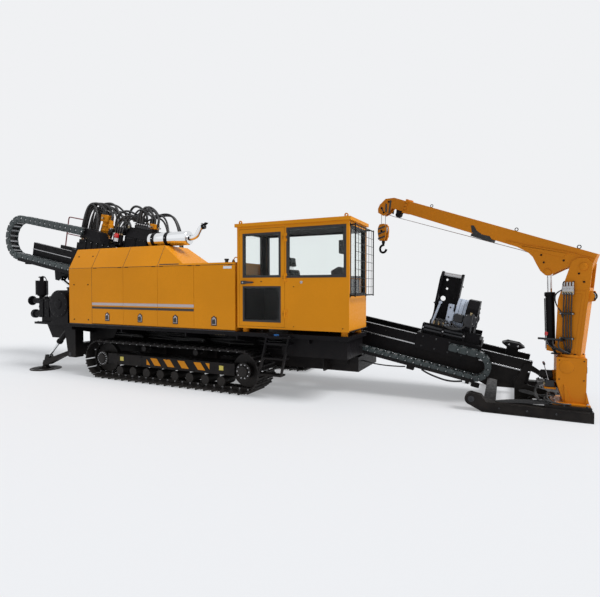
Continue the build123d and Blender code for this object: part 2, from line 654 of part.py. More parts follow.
def cab_steps():
    """The hanging ladder under the cab door, in front of the track."""
    y0 = -1700.0
    y1 = -1640.0
    pieces = []
    for x_top, x_low in ((2120.0, 1950.0), (2560.0, 2400.0)):
        pieces.append(plate_y([(x_low, 440), (x_low + 30, 440), (x_top + 30, 1130), (x_top, 1130)], y0, y1))
    for z, shift in ((440.0, 0.0), (740.0, 78.0), (1010.0, 143.0)):
        pieces.append(box(1950 + shift, 2430 + shift, y0, y1 + 120, z, z + 30))
    pieces.append(box(2080, 2620, y0, -DECK_OUTER, 1130, 1160))
    return fuse(pieces)


def mud_pump():
    """Triplex mud pump on its platform behind the hood, with the bracket beneath."""
    middle = (PUMP_NEAR + PUMP_FAR) / 2
    deck = PUMP_DECK + PUMP_PLATE
    bracket = plate_y([(-4020, 780), (-4320, 780), (PUMP_REAR, PUMP_DECK), (-3300, PUMP_DECK), (-3300, 1060)],
                      PUMP_FAR - PUMP_BRACKET, PUMP_FAR)
    platform = box(PUMP_REAR, -3300, PUMP_NEAR, PUMP_FAR, PUMP_DECK, deck)
    power_end = cylinder_y(CRANK_X, CRANK_Z, CRANK_R, PUMP_NEAR, PUMP_FAR)
    crankcase = box(FLUID_END_X[1], CRANK_X + 320, PUMP_NEAR, PUMP_FAR, deck, 1560)
    fluid_end = box(*FLUID_END_X, PUMP_NEAR + 40, PUMP_FAR - 40, *FLUID_END_Z)
    feet = box(FLUID_END_X[0] + 40, FLUID_END_X[1] - 50, PUMP_NEAR + 80, PUMP_FAR - 80, deck, FLUID_END_Z[0])
    damper = cylinder_z(DAMPER_X, middle, DAMPER_R, *DAMPER_Z)
    stem = cylinder_z(DAMPER_X, middle, 45, DAMPER_Z[1], DAMPER_Z[1] + 100)
    neck = cylinder_z(DAMPER_X, middle, 60, OUTLET_Z, DAMPER_Z[0])
    arm = cylinder_x(middle, OUTLET_Z, 70, WHEEL_X + 105, FLUID_END_X[0])
    wheel_stem = cylinder_x(middle, OUTLET_Z, 18, WHEEL_X - 5, WHEEL_X + 105)
    wheel = cylinder_x(middle, OUTLET_Z, WHEEL_RIM_R, WHEEL_X - 15, WHEEL_X)
    inlet = cylinder_x(middle, INLET_Z, 80, INLET_END + 20, FLUID_END_X[0])
    flange = cylinder_x(middle, INLET_Z, 110, INLET_END, INLET_END + 40)
    caps = []
    for offset in (-140.0, 0.0, 140.0):
        caps.append(cylinder_x(middle + offset, 1560, 55, FLUID_END_X[0] - 45, FLUID_END_X[0]))
        caps.append(cylinder_z(-4260, middle + offset, 55, FLUID_END_Z[1], FLUID_END_Z[1] + 60))
    bore = cylinder_x(middle, INLET_Z, PUMP_BORE_R, INLET_END - 1, INLET_END - 1 + PUMP_BORE_DEPTH)
    pump = fuse([platform, power_end, crankcase, fluid_end, feet, neck, damper, stem, arm, wheel_stem, wheel,
                 inlet, flange] + caps)
    return Compound(children=[bracket, pump.cut(bore)])


def far_tanks():
    """Fuel tank and hydraulic tank on the far deck."""
    tanks = []
    for rear, front, cap_x in TANKS:
        cap = cylinder_z(cap_x, sum(TANK_Y) / 2, 60, TANK_TOP, TANK_TOP + 50)
        tanks.append(box(rear, front, *TANK_Y, DECK_TOP, TANK_TOP).fuse(cap))
    return Compound(children=tanks)


def leg(side):
    """Arm, pad and ball of a rear leg."""
    y = side * LEG_Y
    half = LEG_ARM_HALF
    arm = plate_y([(LEG_PIVOT_X + 60, LEG_PIVOT_Z - 45), (LEG_PIVOT_X + 60, LEG_PIVOT_Z + 45),
                   (LEG_PIVOT_X - 120, LEG_PIVOT_Z + 70), (LEG_EYE_X + 100, LEG_FOOT_Z + 130),
                   (LEG_FOOT_X, LEG_FOOT_Z + 55), (LEG_FOOT_X - 30, LEG_FOOT_Z - 45),
                   (LEG_FOOT_X + 150, LEG_FOOT_Z - 45), (LEG_PIVOT_X - 300, LEG_PIVOT_Z - 75)],
                  y - half, y + half)
    arm = arm.cut(cylinder_y(LEG_PIVOT_X, LEG_PIVOT_Z, LEG_PIN_R + PIN_GAP, y - half - 1, y + half + 1))
    ears = []
    for y0 in (y - half, y + half - 25):
        ears.append(plate_y([(LEG_EYE_X - 90, LEG_FOOT_Z + 60), (LEG_EYE_X + 90, LEG_FOOT_Z + 100),
                             (LEG_EYE_X + 45, LEG_EYE_Z + 40), (LEG_EYE_X - 45, LEG_EYE_Z + 40)],
                            y0, y0 + 25))
    slot = box(LEG_EYE_X - 110, LEG_EYE_X + 130, y - half + 25, y + half - 25, LEG_FOOT_Z + 75, 500)
    ball = Pos(LEG_FOOT_X, y, PAD_THICK + 70) * Sphere(70)
    neck = cylinder_z(LEG_FOOT_X, y, 45, PAD_THICK + 60, LEG_FOOT_Z)
    pad = cylinder_z(LEG_FOOT_X, y, PAD_R, 0, PAD_THICK)
    socket = cylinder_z(LEG_FOOT_X, y, 95, PAD_THICK, PAD_THICK + 45)
    return fuse([arm.cut(slot)] + ears + [neck, pad, socket, ball])


def cylinder_parts(foot_x, foot_z, eye_x, eye_z, barrel_length, barrel_r, rod_r, eye_half, pin_r, y,
                   travel):
    """Barrel with its foot eye, and rod with its own eye; the rod can go in by its travel."""
    length = hypot(eye_x - foot_x, eye_z - foot_z)
    ux = (eye_x - foot_x) / length
    uz = (eye_z - foot_z) / length
    eye_r = pin_r + 30
    barrel = rod_between(foot_x + ux * (eye_r - 8), foot_z + uz * (eye_r - 8),
                         foot_x + ux * barrel_length, foot_z + uz * barrel_length, barrel_r, y)
    head = rod_between(foot_x + ux * (barrel_length - 70), foot_z + uz * (barrel_length - 70),
                       foot_x + ux * barrel_length, foot_z + uz * barrel_length, barrel_r + 10, y)
    bottom = eye_r + 15
    bore = rod_between(foot_x + ux * bottom, foot_z + uz * bottom,
                       foot_x + ux * (barrel_length + 5), foot_z + uz * (barrel_length + 5), rod_r + 1, y)
    eye = cylinder_y(foot_x, foot_z, eye_r, y - eye_half, y + eye_half)
    hole = cylinder_y(foot_x, foot_z, pin_r + PIN_GAP, y - eye_half - 1, y + eye_half + 1)
    barrel = barrel.fuse(head, eye).cut(hole, bore)
    start = bottom + travel + 10
    rod = rod_between(foot_x + ux * start, foot_z + uz * start,
                      eye_x - ux * (eye_r - 8), eye_z - uz * (eye_r - 8), rod_r, y)
    rod_eye = cylinder_y(eye_x, eye_z, eye_r, y - eye_half, y + eye_half)
    rod_hole = cylinder_y(eye_x, eye_z, pin_r + PIN_GAP, y - eye_half - 1, y + eye_half + 1)
    return barrel, rod.fuse(rod_eye).cut(rod_hole)


def mast_beam():
    """Two side girders with their guide rails, a floor, cross members and the lugs beneath."""
    pieces = []
    for side in (-1, 1):
        web = sorted((side * WEB_INNER, side * (MAST_HALF - 20)))
        girder = box(MAST_REAR, MAST_FRONT, *web, MAST_BOTTOM, MAST_TOP)
        rail = sorted((side * (MAST_HALF - 20), side * MAST_HALF))
        guide = box(MAST_REAR, MAST_FRONT, *rail, -GUIDE, GUIDE)
        pieces.append(girder.fuse(guide))
    pieces.append(box(MAST_REAR + 150, FLOOR_FRONT, -WEB_INNER, WEB_INNER,
                      MAST_BOTTOM, MAST_BOTTOM + MAST_PLATE))
    count = 9
    first = MAST_REAR + 250
    last = FLOOR_FRONT - 200
    for number in range(count):
        s = first + number * (last - first) / (count - 1)
        pieces.append(box(s - 40, s + 40, -WEB_INNER, WEB_INNER, MAST_BOTTOM, MAST_BOTTOM + 150))
    pivot_s, pivot_n = mast_coordinates(PIVOT_X, PIVOT_Z)
    for side in (-1, 1):
        lug = sorted((side * LUG_INNER, side * (LUG_INNER + LUG_THICK)))
        ear = plate_y([(pivot_s - 260, MAST_BOTTOM + 60), (pivot_s + 260, MAST_BOTTOM + 60),
                       (pivot_s + 50, pivot_n - 30), (pivot_s - 50, pivot_n - 30)], *lug)
        ear = ear.fuse(cylinder_y(pivot_s, pivot_n, PIVOT_LUG_R, *lug))
        pieces.append(ear)
    for side in (-1, 1):
        for y0 in (side * LIFT_SPREAD - LIFT_EAR, side * LIFT_SPREAD + LIFT_EAR - 25):
            pieces.append(plate_y([(LIFT_LUG_S - 220, MAST_BOTTOM), (LIFT_LUG_S + 420, MAST_BOTTOM),
                                   (LIFT_LUG_S + 60, LIFT_LUG_N - 60), (LIFT_LUG_S - 80, LIFT_LUG_N - 60)],
                                  y0, y0 + 25))
    body = fuse(pieces)
    cuts = [cylinder_y(pivot_s, pivot_n, PIVOT_PIN_R + PIN_GAP, -LUG_INNER - 90, LUG_INNER + 90)]
    cuts.append(cylinder_y(FOOT_PIVOT_S, FOOT_PIVOT_N, FOOT_PIN_R + PIN_GAP, -MAST_HALF - 90, MAST_HALF + 90))
    return MAST * body.cut(*cuts)


def mast_troughs():
    """The chain troughs on the near side, rear and front, on arms from the girder."""
    pieces = []
    for s0, s1, middle, width, base, depth in (
        (REAR_BEND_S + 60, REAR_CHAIN_FIXED + 60, REAR_CHAIN_Y, REAR_CHAIN_WIDTH,
         REAR_BEND_N - REAR_BEND_R, REAR_CHAIN_THICK),
        (FRONT_CHAIN_FIXED - 60, FRONT_BEND_S + 40, FRONT_CHAIN_Y, FRONT_CHAIN_WIDTH,
         FRONT_BEND_N - FRONT_BEND_R, FRONT_CHAIN_THICK),
    ):
        y0 = middle - width / 2 - 6
        y1 = -(MAST_HALF - 20)
        pieces.append(box(s0, s1, y0 - 8, y1, base - 14, base - 6))
        pieces.append(box(s0, s1, y0 - 8, y0, base - 6, base + depth * 0.35))
        arms = max(2, int((s1 - s0) / 900))
        for number in range(arms):
            s = s0 + 380 + number * (s1 - s0 - 480) / (arms - 1)
            pieces.append(box(s - 30, s + 30, y0, -(MAST_HALF - 20), base - 54, base - 14))
            pieces.append(box(s - 30, s + 30, -(MAST_HALF - 20), -WEB_INNER, base - 54, MAST_BOTTOM))
    return MAST * Compound(children=[fuse(pieces[: len(pieces) // 2]), fuse(pieces[len(pieces) // 2:])])


def boom_rest():
    """The boom's rest at the mast's front: a post under a head with pointed ends."""
    middle = 6215.0
    low = 300.0
    high = 400.0
    post = box(middle - 95, middle + 95, -90, 90, MAST_BOTTOM + MAST_PLATE, low)
    head = plate_y([(middle - 190, (low + high) / 2), (middle - 100, high), (middle + 100, high),
                    (middle + 190, (low + high) / 2), (middle + 105, low), (middle - 105, low)], -170, 170)
    saddle = cylinder_x(0, high + 170, 200, middle - 200, middle + 200)
    return MAST * post.fuse(head.cut(saddle))


def handrail():
    """Far-side guard rail at the mast's rear."""
    r = 18.0
    y = MAST_HALF + 60
    bars = []
    for s in (-6730.0, -5980.0):
        bars.append(cylinder_z(s, y, r, -100, 1085))
        bars.append(box(s - 40, s + 40, MAST_HALF - 20, y, -100, -80))
    for n in (1085.0, 560.0):
        bars.append(cylinder_x(y, n, r, -6730 - r, -5980 + r))
    return MAST * fuse(bars)


def chain_run(s0, s1, middle, width, low, high, links):
    """A straight stretch of energy chain: two rows of link plates with their bars between."""
    step = (s1 - s0) / links
    cheek = 40.0
    outline_top = []
    outline_low = []
    for number in range(links):
        a = s0 + number * step
        outline_top += [(a + 4, high - 14), (a + 18, high), (a + step - 18, high), (a + step - 4, high - 14)]
        outline_low += [(a + 4, low + 14), (a + 18, low), (a + step - 18, low), (a + step - 4, low + 14)]
    outline = outline_top + outline_low[::-1]
    pieces = []
    for y0 in (middle - width / 2, middle + width / 2 - cheek):
        pieces.append(plate_y(outline, y0, y0 + cheek))
    for number in range(links):
        centre = s0 + (number + 0.5) * step
        for n in (low + 22, high - 22):
            pieces.append(box(centre - 25, centre + 25, middle - width / 2 + cheek - 1,
                              middle + width / 2 - cheek + 1, n - 10, n + 10))
    return MAST * fuse(pieces)


def chain_bend(centre_s, centre_n, outer_r, thick, middle, width, links, side):
    """The half round of an energy chain; side is -1 at the mast's rear and 1 at its front."""
    cheek = 40.0
    ring = []
    inner = []
    for number in range(links):
        for part in (0.06, 0.94):
            angle = pi * (number + part) / links
            ring.append((centre_s + side * outer_r * sin(angle), centre_n + outer_r * cos(angle)))
            inner.append((centre_s + side * (outer_r - thick) * sin(angle),
                          centre_n + (outer_r - thick) * cos(angle)))
    pieces = []
    for y0 in (middle - width / 2, middle + width / 2 - cheek):
        pieces.append(plate_y(ring + inner[::-1], y0, y0 + cheek))
    for number in range(links):
        angle = pi * (number + 0.5) / links
        for radius in (outer_r - 40, outer_r - thick + 26):
            s = centre_s + side * radius * sin(angle)
            n = centre_n + radius * cos(angle)
            bar = Pos(s, middle, n) * Rot(0, degrees(angle) * side, 0) * Box(50, width - 2 * cheek + 2, 20)
            pieces.append(bar)
    return MAST * fuse(pieces)


def carriage_frame():
    """The long sled on the mast, with claws round the rails and the chain's arm."""
    top = MAST_TOP + SLIDE_GAP
    beams = []
    for side in (-1, 1):
        y0, y1 = sorted((side * 330, side * 490))
        beams.append(box(CARRIAGE_REAR, CARRIAGE_FRONT, y0, y1, top, top + 70))
        for s in (CARRIAGE_REAR + 60, -3400.0, CARRIAGE_FRONT - 460):
            y0, y1 = sorted((side * (MAST_HALF + SLIDE_GAP), side * (MAST_HALF + 36)))
            claw = box(s, s + 400, y0, y1, -70, top + 70)
            y2, y3 = sorted((side * 480, side * (MAST_HALF + 36)))
            beams.append(claw.fuse(box(s, s + 400, y2, y3, top, top + 70)))
    for s in (CARRIAGE_REAR, -4100.0, -3500.0, -2300.0, CARRIAGE_FRONT - 120):
        beams.append(box(s, s + 120, -340, 340, top, top + 70))
    beams.append(box(CARRIAGE_REAR, CARRIAGE_REAR + 350, -360, 360, top + 60, 460))
    beams.append(box(CARRIAGE_REAR + 350, -3500, -440, -400, top + 70, 620))
    upper = REAR_BEND_N + REAR_BEND_R
    arm = plate_y([(REAR_CHAIN_END + 6, upper - REAR_CHAIN_THICK), (REAR_CHAIN_END + 6, upper),
                   (REAR_CHAIN_END + 500, upper - 40), (REAR_CHAIN_END + 700, 600),
                   (REAR_CHAIN_END + 350, 600)], -700, -400)
    return MAST * fuse(beams + [arm])


def drive_gearbox():
    """Rotary drive: main gear case, bearing nose and rear swivel."""
    base = MAST_TOP + SLIDE_GAP + 70
    case = plate_x([(-300, base), (300, base), (330, 500), (330, 900), (200, 1150), (-200, 1150),
                    (-330, 900), (-330, 500)], -3300, -2520)
    nose = cylinder_x(0, SPINDLE_N, 230, -2520, -2180)
    front = cylinder_x(0, SPINDLE_N, 170, -2180, -1980)
    swivel = cylinder_x(0, SPINDLE_N, 110, -3800, -3300)
    bore = cylinder_x(0, SPINDLE_N, SPINDLE_R + 1, -2700, -1970)
    return MAST * fuse([case, nose, front, swivel]).cut(bore)


def drive_motors():
    """Hydraulic motors behind and above the gear case, and the feed drives."""
    pieces = []
    for y, n in ((-190.0, 1010.0), (190.0, 1010.0), (-230.0, 640.0), (230.0, 640.0)):
        pieces.append(cylinder_x(y, n, 95, -3720, -3300))
        pieces.append(Pos(-3830, y, n) * Box(220, 210, 210))
    top = cylinder_z(-4230, -150, 120, 700, 1180).fuse(Pos(-4230, -150, 1260) * Box(270, 250, 180))
    stand = box(-4420, -4040, -330, 30, 460, 700)
    post = box(-4420, -4040, -330, 330, MAST_TOP + SLIDE_GAP + 70, 460)
    shelf = box(-2520, -2300, -350, -170, 900, 930)
    feed = cylinder_z(-2400, -260, 85, 930, 1200)
    cap = Pos(-2400, -260, 1270) * Box(200, 180, 140)
    pieces.append(fuse([top, stand, post]))
    pieces.append(fuse([shelf, feed, cap]))
    return MAST * Compound(children=pieces)


def carriage_hoses():
    """Hydraulic hoses, plumbed at both ends, that arch over the power head."""
    case_top = 1150.0
    routes = (
        # across, then the (s, n) corners of the route
        (-290.0, ((-4985, 460), (-4985, 1150), (-4780, 1715), (-4480, 1330), (-4380, 950), (-4380, 700))),
        (150.0, ((-4850, 460), (-4850, 1100), (-4640, 1640), (-4300, 1200), (-4300, 460))),
        (215.0, ((-4780, 460), (-4780, 1150), (-4500, 1690), (-4000, 1500), (-3840, 1320), (-3840, 1115))),
        (40.0, ((-3240, case_top), (-3240, 1520), (-2960, 1740), (-2600, 1560), (-2600, case_top))),
        (130.0, ((-2900, case_top), (-2900, 1480), (-2500, 1660), (-1900, 1330), (-1710, 700), (-1710, 266))),
    )
    loops = []
    for y, corners in routes:
        path = FilletPolyline(*[(s, y, n) for s, n in corners], radius=130)
        loops.append(sweep(Plane(origin=path @ 0, z_dir=path % 0) * Circle(28), path=path))
    return MAST * Compound(children=loops)


def spindle():
    """The turning spindle with its saver sub."""
    shaft = cylinder_x(0, SPINDLE_N, SPINDLE_R, -2650, -1800)
    collar = cylinder_x(0, SPINDLE_N, 110, -1950, -1800)
    sub = cylinder_x(0, SPINDLE_N, 60, -1800, -1560)
    return MAST * fuse([shaft, collar, sub])


def vise_sled():
    """The sliding base of the vises, with its side plates."""
    base = MAST_TOP + SLIDE_GAP
    top = base + VISE_BASE
    side_plate = (MAST_HALF + SLIDE_GAP, MAST_HALF + SLIDE_GAP + 25)
    pieces = [box(VISE_REAR, VISE_FRONT, -450, 450, base, top)]
    for side in (-1, 1):
        y0, y1 = sorted((side * side_plate[0], side * side_plate[1]))
        pieces.append(box(VISE_REAR, VISE_FRONT, y0, y1, -60, top))
        y0, y1 = sorted((side * 440, side * side_plate[1]))
        pieces.append(box(VISE_REAR, VISE_FRONT, y0, y1, base, top))
        y0, y1 = sorted((side * 380, side * 420))
        pieces.append(box(VISE_REAR + 60, VISE_FRONT - 60, y0, y1, top, 430))
    return MAST * fuse(pieces)


def vise_plates():
    """The fixed front vise with its jaw cylinders, and the tall bracket behind the clamp."""
    base = MAST_TOP + SLIDE_GAP + VISE_BASE
    plate = plate_x([(-360, base), (360, base), (360, 850), (230, 1000), (-230, 1000), (-360, 850)],
                    *FIXED_VISE_S)
    pieces = [plate]
    for side in (-1, 1):
        y0, y1 = sorted((side * 360, side * 520))
        pieces.append(cylinder_y(sum(FIXED_VISE_S) / 2, SPINDLE_N, 95, y0, y1))
    rear, front = MAST_HEAD_S
    flange = [(60, base), (330, base), (330, MAST_HEAD_TOP), (200, MAST_HEAD_TOP), (60, MAST_HEAD_TOP - 140)]
    pieces.append(plate_x(flange, rear, rear + 40))
    pieces.append(plate_x(flange, front - 40, front))
    web = box(rear + 40, front - 40, 290, 330, base, MAST_HEAD_TOP - 20)
    for s, n, radius in ((4815.0, 1285.0, 22.0), (4845.0, 1110.0, 22.0), (4810.0, 905.0, 50.0)):
        web = web.cut(cylinder_y(s, n, radius, 280, 340))
    pieces.append(web)
    pieces.append(cylinder_x(265, MAST_HEAD_TOP - 60, 45, rear + 40, front - 40))
    pieces.append(box(rear, FIXED_VISE_S[1], 60, 330, base, base + VISE_BASE))
    passage = cylinder_x(0, SPINDLE_N, PASSAGE_R, rear - 10, FIXED_VISE_S[1] + 10)
    return MAST * fuse(pieces).cut(passage)


def breakout_clamp():
    """The turning rear vise that breaks the joints."""
    ring = cylinder_x(0, SPINDLE_N, CLAMP_R, *CLAMP_S)
    ears = [cylinder_x(side * (CLAMP_R - 30), SPINDLE_N, 80, *CLAMP_S) for side in (-1, 1)]
    passage = cylinder_x(0, SPINDLE_N, PASSAGE_R, CLAMP_S[0] - 10, CLAMP_S[1] + 10)
    return MAST * ring.fuse(*ears).cut(passage)


def foot_frame():
    """Anchor foot: two runners with raised eyes, cross members, and the mast's ears with their brace."""
    pivot_x, pivot_z = mast_point(FOOT_PIVOT_S, FOOT_PIVOT_N)
    pieces = []
    for y0 in (FOOT_NEAR, FOOT_FAR - RUNNER_WIDTH):
        side = plate_y([(FOOT_EYE_X - 60, FOOT_EYE_Z - 80), (5700, 0), (FOOT_FRONT, 0),
                        (FOOT_FRONT, RUNNER_TOP), (5760, RUNNER_TOP), (5680, FOOT_EYE_Z + 70),
                        (FOOT_EYE_X, FOOT_EYE_Z + FOOT_EYE_R)], y0, y0 + RUNNER_WIDTH)
        pieces.append(side.fuse(cylinder_y(FOOT_EYE_X, FOOT_EYE_Z, FOOT_EYE_R, y0, y0 + RUNNER_WIDTH)))
    for x in (5800.0, 6350.0, 6950.0):
        pieces.append(box(x - 90, x + 90, FOOT_NEAR + 100, FOOT_FAR - 100, 20, RUNNER_TOP))
    pieces.append(box(FOOT_PLATE_X, FOOT_FRONT - 20, FOOT_NEAR + 40, FOOT_FAR - 40,
                      RUNNER_TOP, FOOT_PLATE_TOP))
    for side in (-1, 1):
        inner = MAST_Y + side * (MAST_HALF + SIDE_GAP)
        y0, y1 = sorted((inner, inner + side * FOOT_EAR))
        ear = plate_y([(6180, RUNNER_TOP - 60), (6480, RUNNER_TOP - 60), (pivot_x + 70, pivot_z),
                       (pivot_x - 70, pivot_z)], y0, y1)
        pieces.append(ear.fuse(cylinder_y(pivot_x, pivot_z, 80, y0, y1)))
    brace_y = MAST_Y - MAST_HALF - SIDE_GAP - FOOT_EAR
    pieces.append(plate_y([(pivot_x - 40, pivot_z + 60), (6330, 735), (6400, 750), (6520, 670), (6860, 420),
                           (6860, 350), (6500, 590), (6395, 640), (pivot_x + 70, pivot_z)],
                          brace_y, brace_y + 30))
    pieces.append(plate_y([(6480, RUNNER_TOP), (6695, RUNNER_TOP), (6695, 300), (6640, 330),
                           (pivot_x + 60, pivot_z - 20), (6400, RUNNER_TOP)], brace_y, brace_y + 30))
    end = MAST_HALF + SIDE_GAP + 60
    pieces.append(cylinder_y(pivot_x, pivot_z, FOOT_PIN_R, MAST_Y - end, MAST_Y + end))
    holes = [cylinder_z(x, y, STAKE_R, RUNNER_TOP - 1, FOOT_PLATE_TOP + 1) for x, y in STAKES]
    return fuse(pieces).cut(*holes)


def crane_pedestal():
    """The tapered control box that carries the slewing ring, on its base plate."""
    body = plate_y([(6869, FOOT_PLATE_TOP), (7160, FOOT_PLATE_TOP), (7170, RING_Z), (6760, RING_Z),
                    (6760, 560)], CRANE_Y - 200, CRANE_Y + 200)
    base = box(6700, 7210, CRANE_Y - 290, CRANE_Y + 290, FOOT_PLATE_TOP, FOOT_PLATE_TOP + 25)
    return body.fuse(base)


def crane_column():
    """Slewing ring, leaning column and the two cheeks that hold the boom."""
    base = RING_Z + SLIDE_GAP
    ring = cylinder_z(0, 0, 190, base, base + RING_THICK)
    low = base + RING_THICK
    trunk = plate_y([(200, low), (165, 1840), (110, 2030), (-265, 2030), (-160, low)], -130, 130)
    pieces = [ring, trunk]
    cheek = [(110, 2000), (60, 2180), (-20, 2440), (-100, 2490), (-215, 2490), (-300, 2400), (-265, 2000)]
    for side in (-1, 1):
        y0, y1 = sorted((side * (ROOT_HALF_W + SIDE_GAP), side * (ROOT_HALF_W + SIDE_GAP + 25)))
        pieces.append(plate_y(cheek, y0, y1))
    pieces.append(cylinder_y(BOOM_PIVOT_X, BOOM_PIVOT_Z, PIVOT_BOLT_R, -150, 150))
    for side in (-1, 1):
        y0, y1 = sorted((side * 70, side * 95))
        pieces.append(plate_y([(130, LUFF_FOOT_Z - 70), (LUFF_FOOT_X + 40, LUFF_FOOT_Z - 45),
                               (LUFF_FOOT_X + 40, LUFF_FOOT_Z + 45), (130, LUFF_FOOT_Z + 70)], y0, y1))
    pieces.append(cylinder_y(LUFF_FOOT_X, LUFF_FOOT_Z, 25, -95, 95))
    return CRANE * fuse(pieces)


def boom_base():
    """The fixed box section of the boom with the curved side plates of its root."""
    tube = box(-90, BOOM_BASE_END, -BOOM_HALF_W, BOOM_HALF_W, BOOM_LOW, BOOM_HIGH)
    hollow = box(520, BOOM_BASE_END + 1, -BOOM_HALF_W + BOOM_WALL, BOOM_HALF_W - BOOM_WALL,
                 BOOM_LOW + BOOM_WALL, BOOM_HIGH - BOOM_WALL)
    collar = box(BOOM_BASE_END - 60, BOOM_BASE_END, -BOOM_HALF_W - 14, BOOM_HALF_W + 14,
                 BOOM_LOW - 14, BOOM_HIGH + 20)
    pieces = [tube.fuse(collar).cut(hollow)]
    root = [(-100, 0), (-60, -85), (30, -95), (187, -70), (264, -134), (405, -290), (490, -295),
            (560, -265), (662, -175), (750, -90), (848, -41), (1054, BOOM_LOW + 2), (1250, BOOM_LOW + 5),
            (1250, BOOM_LOW + 30), (300, 150), (-90, 150)]
    for side in (-1, 1):
        y0, y1 = sorted((side * (ROOT_HALF_W - ROOT_PLATE), side * ROOT_HALF_W))
        pieces.append(plate_y(root, y0, y1))
        pieces.append(cylinder_y(LUFF_LUG_U, LUFF_LUG_V, 50, y0, y1))
    body = fuse(pieces)
    return BOOM * body.cut(cylinder_y(0, 0, PIVOT_BOLT_R + PIN_GAP, -200, 200))


def boom_tip():
    """The sliding section with the nose plates that hold the rope sheave."""
    w = BOOM_HALF_W - BOOM_WALL - 5
    low = BOOM_LOW + BOOM_WALL + 5
    high = BOOM_HIGH - BOOM_WALL - 5
    tube = box(600, BOOM_TIP_END - 600, -w, w, low, high)
    head = plate_y([(BOOM_TIP_END - 600, low), (BOOM_TIP_END - 600, high), (3760, high), (3960, 150),
                    (4060, 0), (BOOM_TIP_END, -90), (4040, -170), (3890, -200), (3800, -120), (3740, low)],
                   -w, w)
    slot = box(HOOK_U - 150, BOOM_TIP_END + 10, -45, 45, -250, 110)
    throat = box(3700, HOOK_U - 140, -45, 45, -250, low - 5)
    pin = cylinder_y(HOOK_U, HOOK_V, 16, -60, 60)
    return BOOM * fuse([tube, head.cut(slot, throat), pin])


def hook_block():
    """Rope falls, block and hook that hang from the boom's head."""
    falls = [cylinder_z(side * 50, 0, 8, -330, -60) for side in (-1, 1)]
    yoke = cylinder_y(0, 0, 60, -30, 30).cut(cylinder_y(0, 0, 18, -40, 40))
    stem = box(-60, 60, -20, 20, -90, -50)
    block = plate_y([(-70, -330), (70, -330), (110, -450), (90, -700), (-90, -700), (-110, -450)], -70, 70)
    shank = cylinder_z(0, 0, 25, -780, -700)
    hook = Pos(0, 0, -860) * Rot(90, 0, 0) * Torus(85, 26)
    hook = hook.cut(box(-200, -20, -60, 60, -860, -700))
    hook_pieces = fuse(falls + [yoke, stem, block, shank, hook])
    tip = BOOM * Pos(HOOK_U, 0, HOOK_V)
    place = Pos(*tip.position) * Rot(0, 0, CRANE_TURN)
    return place * hook_pieces


def luff_cylinder():
    """Barrel and rod of the boom's cylinder, in the crane's own frame."""
    a = radians(BOOM_LUFF)
    eye_x = BOOM_PIVOT_X + LUFF_LUG_U * cos(a) - LUFF_LUG_V * sin(a)
    eye_z = BOOM_PIVOT_Z + LUFF_LUG_U * sin(a) + LUFF_LUG_V * cos(a)
    barrel, rod = cylinder_parts(LUFF_FOOT_X, LUFF_FOOT_Z, eye_x, eye_z, 900, 65, 38, 55, 25, 0, 140)
    return CRANE * barrel, CRANE * rod


def lift_cylinders():
    """Both mast lift cylinders."""
    eye_x, eye_z = mast_point(LIFT_LUG_S, LIFT_LUG_N)
    barrels = []
    rods = []
    for side in (-1, 1):
        barrel, rod = cylinder_parts(LIFT_FOOT_X, LIFT_FOOT_Z, eye_x, eye_z, LIFT_BARREL, LIFT_BARREL_R,
                                     LIFT_ROD_R, 70, LIFT_PIN_R, MAST_Y + side * LIFT_SPREAD,
                                     320)
        barrels.append(barrel)
        rods.append(rod)
    return Compound(children=barrels), Compound(children=rods)


def leg_cylinder(side):
    return cylinder_parts(LEG_CYL_X, LEG_CYL_Z, LEG_EYE_X, LEG_EYE_Z, 560, 60, 35, 40, LEG_PIN_R,
                          side * LEG_Y, 430)


